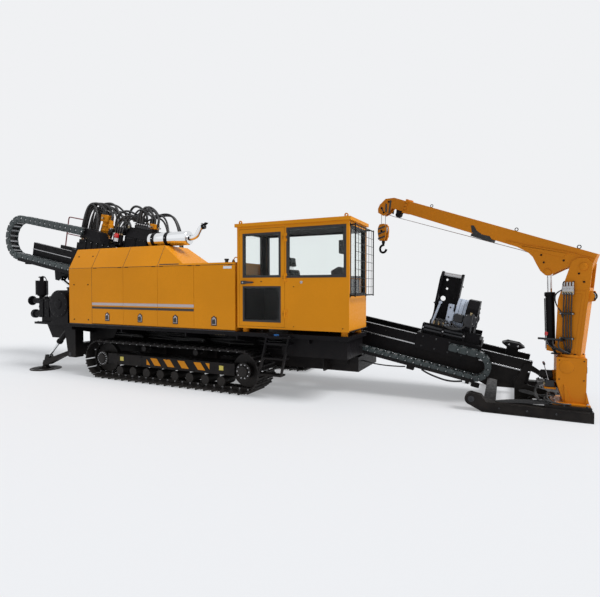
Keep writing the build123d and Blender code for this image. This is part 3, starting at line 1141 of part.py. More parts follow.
def main():
    os.makedirs("parts", exist_ok=True)
    nodes = {
        "track_left": track(1),
        "track_right": track(-1),
        "running_gear": running_gear(),
        "track_frames": track_frames(),
        "chassis_frame": chassis_frame(),
        "side_decks": decks(),
        "hood_shell": hood_shell(),
        "engine_block": engine_block(),
        "exhaust": exhaust(),
        "cab_shell": cab_shell(),
        "cab_glass": cab_glass(),
        "cab_seat": cab_seat(),
        "cab_console": cab_console(),
        "window_guard": window_guard(),
        "cab_steps": cab_steps(),
        "mud_pump": mud_pump(),
        "far_tanks": far_tanks(),
        "cab_door": cab_door(),
        "cab_door_glass": cab_door_glass(),
        "mast_beam": mast_beam(),
        "mast_troughs": mast_troughs(),
        "boom_rest": boom_rest(),
        "handrail": handrail(),
        "carriage_frame": carriage_frame(),
        "drive_gearbox": drive_gearbox(),
        "drive_motors": drive_motors(),
        "carriage_hoses": carriage_hoses(),
        "spindle": spindle(),
        "vise_sled": vise_sled(),
        "vise_plates": vise_plates(),
        "breakout_clamp": breakout_clamp(),
        "foot_frame": foot_frame(),
        "crane_pedestal": crane_pedestal(),
        "crane_column": crane_column(),
        "boom_base": boom_base(),
        "boom_tip": boom_tip(),
        "hook_block": hook_block(),
    }
    for number in range(len(HOOD_DOORS) - 1):
        nodes[f"hood_door_{number + 1}"] = hood_door(number)
    for name, side in (("left", 1), ("right", -1)):
        nodes[f"leg_{name}"] = leg(side)
        nodes[f"leg_{name}_barrel"], nodes[f"leg_{name}_rod"] = leg_cylinder(side)
    nodes["lift_barrels"], nodes["lift_rods"] = lift_cylinders()
    nodes["luff_barrel"], nodes["luff_rod"] = luff_cylinder()
    rear_low = REAR_BEND_N - REAR_BEND_R
    rear_high = REAR_BEND_N + REAR_BEND_R
    front_low = FRONT_BEND_N - FRONT_BEND_R
    front_high = FRONT_BEND_N + FRONT_BEND_R
    nodes["rear_chain_lower"] = chain_run(REAR_BEND_S, REAR_CHAIN_FIXED, REAR_CHAIN_Y, REAR_CHAIN_WIDTH,
                                          rear_low, rear_low + REAR_CHAIN_THICK, 14)
    nodes["rear_chain_upper"] = chain_run(REAR_BEND_S, REAR_CHAIN_END, REAR_CHAIN_Y, REAR_CHAIN_WIDTH,
                                          rear_high - REAR_CHAIN_THICK, rear_high, 12)
    nodes["rear_chain_bend"] = chain_bend(REAR_BEND_S, REAR_BEND_N, REAR_BEND_R, REAR_CHAIN_THICK,
                                          REAR_CHAIN_Y, REAR_CHAIN_WIDTH, 9, -1)
    nodes["front_chain_lower"] = chain_run(FRONT_CHAIN_FIXED, FRONT_BEND_S, FRONT_CHAIN_Y, FRONT_CHAIN_WIDTH,
                                           front_low, front_low + FRONT_CHAIN_THICK, 16)
    nodes["front_chain_upper"] = chain_run(FRONT_CHAIN_END, FRONT_BEND_S, FRONT_CHAIN_Y, FRONT_CHAIN_WIDTH,
                                           front_high - FRONT_CHAIN_THICK, front_high, 3)
    nodes["front_chain_bend"] = chain_bend(FRONT_BEND_S, FRONT_BEND_N, FRONT_BEND_R, FRONT_CHAIN_THICK,
                                           FRONT_CHAIN_Y, FRONT_CHAIN_WIDTH, 6, 1)
    for name, shape in nodes.items():
        export_step(shape, f"parts/{name}.step")


main()
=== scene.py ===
"""Horizontal directional drill: the looks that go round the fixed frame."""
import itertools
import json
import math
import random

import bmesh
import bpy
from mathutils import Matrix, Vector


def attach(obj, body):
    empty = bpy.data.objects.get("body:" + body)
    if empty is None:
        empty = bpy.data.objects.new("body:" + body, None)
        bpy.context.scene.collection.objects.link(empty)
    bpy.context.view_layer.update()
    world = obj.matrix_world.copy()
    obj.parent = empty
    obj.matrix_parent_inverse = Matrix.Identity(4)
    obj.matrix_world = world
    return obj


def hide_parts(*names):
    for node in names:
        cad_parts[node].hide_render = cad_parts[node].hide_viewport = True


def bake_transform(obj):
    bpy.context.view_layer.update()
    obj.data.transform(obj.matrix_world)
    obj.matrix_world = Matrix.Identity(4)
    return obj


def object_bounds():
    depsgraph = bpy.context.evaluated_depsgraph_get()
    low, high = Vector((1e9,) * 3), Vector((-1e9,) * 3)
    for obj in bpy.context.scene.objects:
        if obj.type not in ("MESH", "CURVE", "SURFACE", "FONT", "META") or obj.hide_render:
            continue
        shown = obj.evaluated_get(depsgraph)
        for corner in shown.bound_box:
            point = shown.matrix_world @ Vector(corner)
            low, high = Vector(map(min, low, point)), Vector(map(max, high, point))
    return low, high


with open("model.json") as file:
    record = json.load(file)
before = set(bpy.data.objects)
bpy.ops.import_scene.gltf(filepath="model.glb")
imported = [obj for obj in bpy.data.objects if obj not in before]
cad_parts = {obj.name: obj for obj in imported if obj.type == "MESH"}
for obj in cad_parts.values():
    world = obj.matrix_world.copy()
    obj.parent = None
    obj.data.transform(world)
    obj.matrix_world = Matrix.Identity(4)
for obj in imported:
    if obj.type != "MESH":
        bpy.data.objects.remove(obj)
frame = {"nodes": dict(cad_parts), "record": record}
cad_low, cad_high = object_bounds()
random.seed(11)

# Directions on the machine
FRONT = (1, 0, 0)
REAR = (-1, 0, 0)
FAR = (0, 1, 0)
NEAR = (0, -1, 0)
UP = (0, 0, 1)
DOWN = (0, 0, -1)

# Places shared with the part, in metres
MAST_Y = 0.3
MAST_SLOPE = math.radians(11.26)
MAST_Z0 = 1.87
MAST = Matrix.Translation((0, MAST_Y, MAST_Z0)) @ Matrix.Rotation(MAST_SLOPE, 4, "Y")
SPINDLE_N = 0.635
CRANE_TURN = math.radians(160)
CRANE = Matrix.Translation((6.98, -0.45, 0)) @ Matrix.Rotation(CRANE_TURN, 4, "Z")
BOOM_LUFF = math.radians(21)
BOOM_PIN = (-0.18, 2.355)
BOOM = CRANE @ Matrix.Translation((BOOM_PIN[0], 0, BOOM_PIN[1])) @ Matrix.Rotation(-BOOM_LUFF, 4, "Y")
BOOM_HEAD_PIN = (3.985, -0.06)
BOOM_CYLINDER_EYE = (0.45, -0.25)
LIFT_EYE = (MAST @ Vector((-5.75, 0, -0.7))).xz
TRACK_Y = 1.3
SPROCKET_X = -2.225
AXLE_Z = 0.435
RIM_R = 0.33
BELT = 0.07
SHOE_PITCH = 0.2
SHOE_COUNT = 50
TRACK_FLAT = (SHOE_COUNT * SHOE_PITCH - 2 * math.pi * (RIM_R + BELT)) / 2
HOOD_Y = -1.59
HOOD_SEAMS = (-2.44, -1.48, -0.51, 0.43, 1.4)
HOOD_TOP = 2.93
HOOD_LOW_TOP = 2.517
CAB_Y = -1.59
CAB_FRONT_X = 3.66
CAB_SEAT_Y = -1.095
PUMP_Y = -1.275
LEG_PAD = (-4.4, 1.35)
CUSHION_VOXEL = 0.009
WHOLE = Matrix.Identity(4)


class Recipe:
    """A node material built from noise, wear and dust in the object's own coordinates."""

    def __init__(self, name):
        self.material = bpy.data.materials.new(name)
        self.material.use_nodes = True
        self.tree = self.material.node_tree
        self.shader = self.tree.nodes["Principled BSDF"]
        self.place = self.tree.nodes.new("ShaderNodeTexCoord").outputs["Object"]

    def put(self, socket, value):
        if isinstance(value, bpy.types.NodeSocket):
            self.tree.links.new(value, socket)
        else:
            socket.default_value = value

    def node(self, kind, values=(), **settings):
        made = self.tree.nodes.new(kind)
        for key, value in settings.items():
            setattr(made, key, value)
        for socket, value in dict(values).items():
            self.put(made.inputs[socket], value)
        return made

    def noise(self, scale, detail=4.0, stretch=(1, 1, 1)):
        moved = self.node("ShaderNodeMapping", {"Vector": self.place, "Scale": stretch})
        values = {"Vector": moved.outputs[0], "Scale": scale, "Detail": detail}
        return self.node("ShaderNodeTexNoise", values).outputs["Fac"]

    def span(self, value, low, high, to_low=0.0, to_high=1.0):
        values = {"Value": value, "From Min": low, "From Max": high, "To Min": to_low, "To Max": to_high}
        made = self.node("ShaderNodeMapRange", values, interpolation_type="SMOOTHSTEP")
        return made.outputs["Result"]

    def times(self, a, b):
        return self.node("ShaderNodeMath", {0: a, 1: b}, operation="MULTIPLY").outputs[0]

    def mix(self, share, a, b):
        return self.node("ShaderNodeMix", {0: share, 6: a, 7: b}, data_type="RGBA").outputs[2]

    def height(self):
        return self.node("ShaderNodeSeparateXYZ", {0: self.place}).outputs["Z"]

    def edges(self, radius):
        """1 on sharp edges, 0 on flats, from the rounded normal."""
        rounded = self.node("ShaderNodeBevel", {"Radius": radius}, samples=4).outputs[0]
        flat = self.node("ShaderNodeNewGeometry").outputs["Normal"]
        same = self.node("ShaderNodeVectorMath", {0: rounded, 1: flat}, operation="DOT_PRODUCT")
        return self.span(same.outputs["Value"], 0.995, 0.9, 0.0, 1.0), rounded


def shade(color, share):
    return tuple(min(1.0, c * share) for c in color[:3]) + (1.0,)


def surface(name, color, rough, metal=0.0, tone=0.08, wear=None, worn=0.5, dust=0.0, dust_top=1.3,
            grain=0.0, grain_scale=220.0, coat=0.0, edge=0.004, rough_spread=0.1, shine=0.5):
    """The common recipe: broad tone, fine mottling, worn edges, low dust, and a grain in the bump."""
    r = Recipe(name)
    broad = r.noise(0.8, 3.0)
    fine = r.noise(26.0, 6.0)
    base = r.mix(r.span(broad, 0.3, 0.7), shade(color, 1 - tone), shade(color, 1 + tone))
    base = r.mix(r.span(fine, 0.35, 0.75, 0.0, 0.5), base, shade(color, 1 - tone))
    rough_now = r.span(fine, 0.3, 0.7, max(0.03, rough - rough_spread), rough + rough_spread)
    on_edge, rounded = r.edges(edge)
    if wear:
        share = r.times(on_edge, r.span(r.noise(14.0, 5.0), 0.48, 0.62, 0.0, worn))
        base = r.mix(share, base, wear)
    if dust:
        low = r.span(r.height(), dust_top, 0.0)
        patch = r.span(r.noise(5.0, 7.0), 0.35, 0.75, 0.15, dust)
        base = r.mix(r.times(low, patch), base, (0.115, 0.098, 0.08, 1.0))
    r.put(r.shader.inputs["Base Color"], base)
    r.put(r.shader.inputs["Roughness"], rough_now)
    r.shader.inputs["Metallic"].default_value = metal
    r.shader.inputs["Coat Weight"].default_value = coat
    r.shader.inputs["Coat Roughness"].default_value = 0.12
    r.shader.inputs["Specular IOR Level"].default_value = shine
    if grain:
        values = {"Height": r.noise(grain_scale, 3.0), "Strength": grain, "Distance": 0.002,
                  "Normal": rounded}
        r.put(r.shader.inputs["Normal"], r.node("ShaderNodeBump", values).outputs[0])
    else:
        r.put(r.shader.inputs["Normal"], rounded)
    return r.material


def braided_hose():
    """Black rubber with the faint helical print of its cover."""
    r = Recipe("hose_rubber")
    wave = r.node("ShaderNodeTexWave", {"Vector": r.place, "Scale": 60.0, "Distortion": 1.0})
    tone = r.mix(r.span(r.noise(18.0, 5.0), 0.3, 0.7), (0.008, 0.008, 0.009, 1), (0.022, 0.022, 0.023, 1))
    r.put(r.shader.inputs["Base Color"], tone)
    r.shader.inputs["Roughness"].default_value = 0.42
    bump = r.node("ShaderNodeBump", {"Height": wave.outputs["Fac"], "Strength": 0.25, "Distance": 0.001})
    r.put(r.shader.inputs["Normal"], bump.outputs[0])
    return r.material


def window_glass():
    """Slightly green safety glass with a film of dust."""
    r = Recipe("window_glass")
    dust = r.span(r.noise(3.0, 6.0), 0.3, 0.8, 0.01, 0.07)
    r.put(r.shader.inputs["Roughness"], dust)
    r.shader.inputs["Base Color"].default_value = (0.93, 0.96, 0.95, 1)
    r.shader.inputs["Transmission Weight"].default_value = 1.0
    r.shader.inputs["IOR"].default_value = 1.16
    return r.material


def seat_cloth():
    """Woven seat cloth: two crossed fine waves in the bump, and soft sheen."""
    r = Recipe("seat_cloth")
    turned = r.node("ShaderNodeMapping", {"Vector": r.place, "Rotation": (0.3, 0.4, 0.8)}).outputs[0]
    warp = r.node("ShaderNodeTexWave", {"Vector": turned, "Scale": 130.0, "Distortion": 0.6})
    weft = r.node("ShaderNodeTexWave", {"Vector": r.place, "Scale": 130.0, "Distortion": 0.6},
                  bands_direction="Z")
    weave = r.times(warp.outputs["Fac"], weft.outputs["Fac"])
    tone = r.mix(r.span(r.noise(9.0, 5.0), 0.3, 0.7), (0.01, 0.022, 0.024, 1), (0.022, 0.04, 0.042, 1))
    r.put(r.shader.inputs["Base Color"], tone)
    r.shader.inputs["Roughness"].default_value = 0.85
    r.shader.inputs["Sheen Weight"].default_value = 0.35
    bump = r.node("ShaderNodeBump", {"Height": weave, "Strength": 0.5, "Distance": 0.0015})
    r.put(r.shader.inputs["Normal"], bump.outputs[0])
    return r.material


RUST = (0.1, 0.055, 0.03, 1)
BARE = (0.35, 0.35, 0.34, 1)
PAINT = surface("machine_paint", (0.7, 0.262, 0.01), 0.38, tone=0.05, wear=(0.3, 0.14, 0.03, 1), worn=0.45,
                grain=0.08, dust=0.05, dust_top=1.6, shine=0.08)
BOOM_PAINT = surface("boom_paint", (0.64, 0.215, 0.01), 0.4, tone=0.07, wear=RUST, worn=0.35,
                     grain=0.08, shine=0.1)
BLACK = surface("black_paint", (0.0045, 0.004, 0.0052), 0.46, tone=0.25, wear=BARE, worn=0.1, grain=0.1,
                dust=0.05, shine=0.1)
TRACK_STEEL = surface("track_steel", (0.008, 0.0075, 0.0085), 0.5, metal=0.25, tone=0.3,
                      wear=(0.24, 0.23, 0.22, 1), worn=0.35, grain=0.35, grain_scale=90.0, dust=0.12,
                      shine=0.2)
GRIT = surface("cast_grey", (0.018, 0.019, 0.022), 0.48, metal=0.3, tone=0.2, wear=BARE, worn=0.4,
               grain=0.3, grain_scale=120.0)
PALE_STEEL = surface("pale_steel", (0.46, 0.52, 0.62), 0.38, metal=0.15, tone=0.12, wear=RUST, worn=0.3,
                     grain=0.15)
STEEL = surface("machined_steel", (0.42, 0.42, 0.43), 0.28, metal=1.0, tone=0.12, grain=0.05, wear=RUST,
                worn=0.3)
CHROME = surface("chrome", (0.8, 0.81, 0.82), 0.07, metal=1.0, tone=0.02, rough_spread=0.03)
CHAIN = surface("chain_plastic", (0.024, 0.036, 0.038), 0.45, tone=0.25, wear=(0.12, 0.15, 0.15, 1),
                worn=0.7, grain=0.25, grain_scale=60.0, edge=0.006)
CHAIN_BAR = surface("chain_bar", (0.3, 0.31, 0.32), 0.35, metal=0.5, tone=0.15, grain=0.08)
RUBBER = surface("rubber_seal", (0.008, 0.008, 0.009), 0.55, tone=0.2, grain=0.12)
PLASTIC = surface("moulded_plastic", (0.018, 0.018, 0.02), 0.55, tone=0.15, grain=0.35, grain_scale=500.0)
RED = surface("rail_red", (0.16, 0.012, 0.016), 0.4, tone=0.15, wear=BARE, worn=0.4, grain=0.08)
SIGNAL_RED = surface("signal_red", (0.55, 0.012, 0.015), 0.25, tone=0.08, coat=0.6)
WHITE = surface("pale_enamel", (0.72, 0.74, 0.78), 0.35, tone=0.05, grain=0.05)
STRIPE_GREY = surface("stripe_grey", (0.47, 0.42, 0.43), 0.38, tone=0.05, grain=0.04)
STRIPE_BLACK = surface("stripe_black", (0.014, 0.013, 0.01), 0.38, tone=0.1, grain=0.04)
LABEL_YELLOW = surface("label_yellow", (0.62, 0.52, 0.09), 0.4, tone=0.08)
LABEL_BLUE = surface("label_blue", (0.02, 0.2, 0.62), 0.4, tone=0.08)
BRASS = surface("plated_fitting", (0.4, 0.33, 0.2), 0.3, metal=1.0, tone=0.15, wear=RUST, worn=0.4)
HEADLINER = surface("headliner", (0.016, 0.014, 0.011), 0.85, tone=0.15, grain=0.5, grain_scale=300.0)
HOSE = braided_hose()
GLASS = window_glass()
CLOTH = seat_cloth()


class Piece:
    """Collects closed forms into one mesh, each put in place by the piece's matrix."""

    def __init__(self, name, place=WHOLE):
        self.name = name
        self.place = place
        self.points = []
        self.faces = []
        self.skins = []
        self.finishes = []

    def add(self, points, faces, finish):
        if finish not in self.finishes:
            self.finishes.append(finish)
        start = len(self.points)
        self.points += [self.place @ Vector(p) for p in points]
        self.faces += [tuple(start + i for i in face) for face in faces]
        self.skins += [self.finishes.index(finish)] * len(faces)

    def rings(self, rings, finish, closed=False):
        """Skins a list of rings of equal length; the ends are capped unless the loop is closed."""
        size = len(rings[0])
        points = [p for ring in rings for p in ring]
        faces = []
        count = len(rings)
        for a in range(count if closed else count - 1):
            b = (a + 1) % count
            for i in range(size):
                j = (i + 1) % size
                faces.append((a * size + i, a * size + j, b * size + j, b * size + i))
        if not closed:
            faces.append(tuple(range(size))[::-1])
            faces.append(tuple((count - 1) * size + i for i in range(size)))
        self.add(points, faces, finish)

    def prism(self, outline, a, b, finish, axis="y", edge=0.003, turn=WHOLE):
        """An outline run from a to b along an axis, with all its edges chamfered."""
        full = cut_corners(outline, edge)
        inner = shrink(full, edge)
        order = {
            "x": lambda u, v, t: (t, u, v),
            "y": lambda u, v, t: (u, t, v),
            "z": lambda u, v, t: (u, v, t),
        }
        put = order[axis]
        rings = []
        for ring, t in ((inner, a), (full, a + edge), (full, b - edge), (inner, b)):
            rings.append([turn @ Vector(put(u, v, t)) for u, v in ring])
        self.rings(rings, finish)

    def box(self, low, high, finish, edge=0.003, turn=WHOLE):
        outline = rect(low[0], low[1], high[0], high[1])
        self.prism(outline, low[2], high[2], finish, "z", edge, turn)

    def lathe(self, profile, start, axis, finish, sides=24):
        """A profile of (along, radius) turned about the axis from start."""
        start = Vector(start)
        axis = Vector(axis).normalized()
        side = axis.orthogonal().normalized()
        other = axis.cross(side)
        rings = []
        for along, radius in profile:
            ring = []
            for i in range(sides):
                angle = 2 * math.pi * i / sides
                out = side * math.cos(angle) + other * math.sin(angle)
                ring.append(start + axis * along + out * max(radius, 0.0004))
            rings.append(ring)
        self.rings(rings, finish)

    def rod(self, a, b, radius, finish, sides=16, edge=0.002):
        a = Vector(a)
        b = Vector(b)
        length = (b - a).length
        profile = [(0, radius - edge), (edge, radius), (length - edge, radius), (length, radius - edge)]
        self.lathe(profile, a, b - a, finish, sides)

    def bolt(self, at, axis, radius, finish, height=None):
        """A washer and a six-sided head."""
        height = height or radius * 1.1
        self.lathe([(0, radius * 1.25), (radius * 0.2, radius * 1.25)], at, axis, finish, 12)
        profile = [(0, radius), (height * 0.85, radius), (height, radius * 0.8)]
        self.lathe(profile, Vector(at) + Vector(axis).normalized() * radius * 0.2, axis, finish, 6)

    def bolts(self, xs, ys, zs, axis, radius, finish):
        """A bolt at every crossing of the given rows; a row may be one number."""
        rows = [row if isinstance(row, (tuple, list)) else (row,) for row in (xs, ys, zs)]
        for at in itertools.product(*rows):
            self.bolt(at, axis, radius, finish)

    def sweep(self, path, radius, finish, sides=10, closed=False):
        """A round bar along a path of points."""
        path = [Vector(p) for p in path]
        count = len(path)
        rings = []
        up = None
        for i, point in enumerate(path):
            before = path[i - 1] if (i or closed) else point
            after = path[(i + 1) % count] if (i < count - 1 or closed) else point
            way = (after - before).normalized()
            up = way.orthogonal().normalized() if up is None else (up - way * up.dot(way)).normalized()
            side = way.cross(up)
            ring = []
            for k in range(sides):
                angle = 2 * math.pi * k / sides
                ring.append(point + (up * math.cos(angle) + side * math.sin(angle)) * radius)
            rings.append(ring)
        self.rings(rings, finish, closed)

    def ring(self, centre, axis, radius, thick, finish, start=0.0, end=360.0, steps=28, sides=10):
        """A torus, or a part of one."""
        axis = Vector(axis).normalized()
        side = axis.orthogonal().normalized()
        other = axis.cross(side)
        whole = end - start >= 359.9
        path = []
        for i in range(steps if whole else steps + 1):
            angle = math.radians(start + (end - start) * i / steps)
            path.append(Vector(centre) + (side * math.cos(angle) + other * math.sin(angle)) * radius)
        self.sweep(path, thick, finish, sides, whole)

    def done(self, body, replaces=(), flat_angle=35.0):
        mesh = bpy.data.meshes.new(self.name)
        mesh.from_pydata(self.points, [], self.faces)
        for finish in self.finishes:
            mesh.materials.append(finish)
        mesh.polygons.foreach_set("material_index", self.skins)
        work = bmesh.new()
        work.from_mesh(mesh)
        bmesh.ops.recalc_face_normals(work, faces=work.faces)
        work.to_mesh(mesh)
        work.free()
        mesh.polygons.foreach_set("use_smooth", [True] * len(mesh.polygons))
        mesh.set_sharp_from_angle(angle=math.radians(flat_angle))
        thing = bpy.data.objects.new(self.name, mesh)
        bpy.context.scene.collection.objects.link(thing)
        if body:
            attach(thing, body)
        if replaces:
            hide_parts(*replaces)
        return thing


def rect(u0, v0, u1, v1):
    return [(u0, v0), (u1, v0), (u1, v1), (u0, v1)]


def stepped(radius, length, neck, reach, slope=0.004):
    """A turned profile of two widths with a short slope between them."""
    return [(0, radius), (length, radius), (length + slope, neck), (reach, neck)]


def circle(count, radius, shift=0.0):
    """Points round a circle, the first one turned by a share of a step."""
    angles = [2 * math.pi * (k + shift) / count for k in range(count)]
    return [(radius * math.cos(a), radius * math.sin(a)) for a in angles]


def between(side, a, b):
    """Two distances from the middle, on one side of it, the lower one first."""
    return sorted((side * a, side * b))


def row(start, step, count):
    return [start + step * k for k in range(count)]


def on_boom(u, v):
    """A point of the boom's side view, in the crane's frame."""
    along = math.cos(BOOM_LUFF)
    rise = math.sin(BOOM_LUFF)
    return Vector((BOOM_PIN[0] + u * along - v * rise, 0, BOOM_PIN[1] + u * rise + v * along))


def cut_corners(outline, edge):
    """Each corner becomes two points, edge away along its sides."""
    count = len(outline)
    made = []
    for i, corner in enumerate(outline):
        corner = Vector(corner)
        for other in (Vector(outline[i - 1]), Vector(outline[(i + 1) % count])):
            way = other - corner
            step = min(edge, way.length * 0.3)
            made.append(tuple(corner + way.normalized() * step))
    return made


def shrink(outline, distance):
    """The outline moved inwards."""
    count = len(outline)
    area = sum(outline[i][0] * outline[(i + 1) % count][1] - outline[(i + 1) % count][0] * outline[i][1]
               for i in range(count))
    turn = 1 if area > 0 else -1
    made = []
    for i in range(count):
        here = Vector(outline[i])
        before = (here - Vector(outline[i - 1])).normalized()
        after = (Vector(outline[(i + 1) % count]) - here).normalized()
        inward = Vector((-before.y, before.x)) + Vector((-after.y, after.x))
        size = max(inward.length, 0.6)
        made.append(tuple(here + inward.normalized() * turn * distance * 2 / size))
    return made


def smooth_path(points, steps=6):
    """Points on the rounded curve through a few given ones."""
    points = [Vector(p) for p in points]
    ends = [points[0] * 2 - points[1]] + points + [points[-1] * 2 - points[-2]]
    path = []
    for i in range(1, len(ends) - 2):
        a, b, c, d = ends[i - 1: i + 3]
        for k in range(steps):
            t = k / steps
            path.append(0.5 * ((2 * b) + (c - a) * t + (2 * a - 5 * b + 4 * c - d) * t * t
                               + (3 * b - a - 3 * c + d) * t ** 3))
    path.append(points[-1])
    return path


def hoses(name, routes, place, body):
    """Hydraulic hoses: one smooth spline each, with a round section."""
    curve = bpy.data.curves.new(name, "CURVE")
    curve.dimensions = "3D"
    curve.bevel_depth = 1.0
    curve.bevel_resolution = 3
    curve.resolution_u = 8
    curve.use_fill_caps = True
    for radius, points in routes:
        spline = curve.splines.new("NURBS")
        spline.points.add(len(points) - 1)
        for knot, point in zip(spline.points, points):
            knot.co = tuple(place @ Vector(point)) + (1.0,)
            knot.radius = radius
        spline.order_u = min(4, len(points))
        spline.use_endpoint_u = True
    curve.materials.append(HOSE)
    thing = bpy.data.objects.new(name, curve)
    bpy.context.scene.collection.objects.link(thing)
    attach(thing, body)
    return thing


def paint_frame():
    """Every node of the frame gets its finish."""
    finish_of = {
        "paint": PAINT, "boom_paint": BOOM_PAINT, "black_paint": BLACK, "track_steel": TRACK_STEEL,
        "bright_steel": STEEL, "chrome": CHROME, "chain": CHAIN, "hose": HOSE, "glass": GLASS,
        "seat": CLOTH, "plastic": PLASTIC, "red_paint": RED,
    }
    for part in frame["record"]["subparts"]:
        mesh = frame["nodes"][part["node"]].data
        mesh.materials.clear()
        mesh.materials.append(finish_of[part["material_slot"]])


def shoe_place(distance):
    """Where a shoe stands at the rim: x, z and its turn about Y."""
    radius = RIM_R
    bend = math.pi * (RIM_R + BELT)
    distance = distance % (2 * TRACK_FLAT + 2 * bend)
    if distance < TRACK_FLAT:
        return SPROCKET_X + distance, AXLE_Z - radius, math.pi
    distance -= TRACK_FLAT
    idler_x = SPROCKET_X + TRACK_FLAT
    if distance < bend:
        turn = math.pi * distance / bend
        return idler_x + radius * math.sin(turn), AXLE_Z - radius * math.cos(turn), math.pi - turn
    distance -= bend
    if distance < TRACK_FLAT:
        return idler_x - distance, AXLE_Z + radius, 0.0
    turn = math.pi * (distance - TRACK_FLAT) / bend
    return SPROCKET_X - radius * math.sin(turn), AXLE_Z + radius * math.cos(turn), -turn


def tracks():
    """Shoes with three bars, bolted to a link chain, for both sides."""
    half = SHOE_PITCH / 2 - 0.013
    low = 0.052
    high = 0.07
    bar = 0.105
    shoe_y = 0.32
    link_y = 0.085
    shoe = [(-half, low), (half, low), (half, high), (0.03, high), (0.016, 0.074),
            (0.008, bar), (-0.008, bar), (-0.016, 0.074), (-0.03, high), (-half, high)]
    for side, name in ((1, "left"), (-1, "right")):
        piece = Piece(f"track_{name}_shoes")
        for number in range(SHOE_COUNT):
            x, z, turn = shoe_place((number + 0.5) * SHOE_PITCH)
            piece.place = Matrix.Translation((x, side * TRACK_Y, z)) @ Matrix.Rotation(turn, 4, "Y")
            piece.prism(shoe, -shoe_y, shoe_y, TRACK_STEEL, "y", 0.002)
            for u in (-half + 0.012, half - 0.012):
                piece.box((u - 0.007, -0.316, 0.068), (u + 0.007, 0.316, 0.084), TRACK_STEEL, 0.002)
            for y in (-link_y, link_y):
                piece.box((-0.098, y - 0.018, 0.004), (0.098, y + 0.018, 0.054), TRACK_STEEL, 0.004)
            piece.bolts((-0.045, 0.045), (-link_y, link_y), 0.069, UP, 0.012, TRACK_STEEL)
            piece.rod((0.098, -0.115, 0.028), (0.098, 0.115, 0.028), 0.021, STEEL, 12)
        piece.done("chassis", [f"track_{name}"])


def track_trim():
    """Hub covers, hazard stripes, blank labels and bolts on the track frames."""
    piece = Piece("track_frame_trim")
    cover = [(0, 0.165), (0.012, 0.165), (0.02, 0.15), (0.02, 0.11), (0.045, 0.1), (0.06, 0.06),
             (0.06, 0.01)]
    hub = TRACK_Y + 0.188
    face = TRACK_Y + 0.21
    low = 0.385
    high = 0.535
    stripes = [[(x - 0.03, low), (x + 0.15, low), (x + 0.03, high), (x - 0.15, high)]
               for x in (-0.65, -0.29, 0.08, 0.49)]
    stripes.append([(-0.9, low), (-0.8, low), (-0.9, 0.51)])
    stripes.append([(0.74, 0.41), (0.74, high), (0.64, high)])
    for side in (-1, 1):
        out = (0, side, 0)
        for x, count in ((SPROCKET_X, 16), (SPROCKET_X + TRACK_FLAT, 10)):
            piece.lathe(cover, (x, side * hub, AXLE_Z), out, TRACK_STEEL, 32)
            for u, v in circle(count, 0.13):
                piece.bolt((x + u, side * (hub + 0.018), AXLE_Z + v), out, 0.011, STEEL)
        piece.bolts((-1.75, -1.05, -0.35, 0.35, 1.05), side * face, (0.36, 0.54), out, 0.013, BLACK)
        for outline in stripes:
            piece.prism(outline, *between(side, face, face + 0.003), PAINT, "y", 0.0005)
        for x in (-1.62, 1.02):
            label = rect(x - 0.05, 0.42, x + 0.05, 0.51)
            piece.prism(label, *between(side, face, face + 0.002), LABEL_YELLOW, "y", 0.0005)
    piece.done("chassis")


def chain_link(piece, pitch, thick, width):
    """One link about its own middle: X along, Y across, Z outwards."""
    half = pitch / 2
    h = thick / 2
    edge = width / 2
    for side in (-1, 1):
        for shift, reach, rise in ((0.0, half, h), (0.014, half * 0.55, h * 0.72)):
            u = reach * 0.8
            v = rise * 0.6
            outline = [(-reach, -v), (-u, -rise), (u, -rise), (reach, -v), (reach, v), (u, rise),
                       (-u, rise), (-reach, v)]
            y0, y1 = between(side, edge - 0.034 - shift * 0.2, edge - 0.012 + shift * 0.8)
            piece.prism(outline, y0, y1, CHAIN, "y", 0.003)
        for outer, inner, share, finish, sides, bevel in ((0.006, 0.04, 0.42, CHAIN, 14, 0.003),
                                                          (0.001, 0.02, 0.16, STEEL, 10, 0.002)):
            ends = [(half, side * (edge - depth), 0) for depth in (outer, inner)]
            piece.rod(*ends, h * share, finish, sides, bevel)
    for rise in (h - 0.014, 0.014 - h):
        piece.box((-0.026, 0.03 - edge, rise - 0.008), (0.026, edge - 0.03, rise + 0.008), CHAIN_BAR, 0.003)


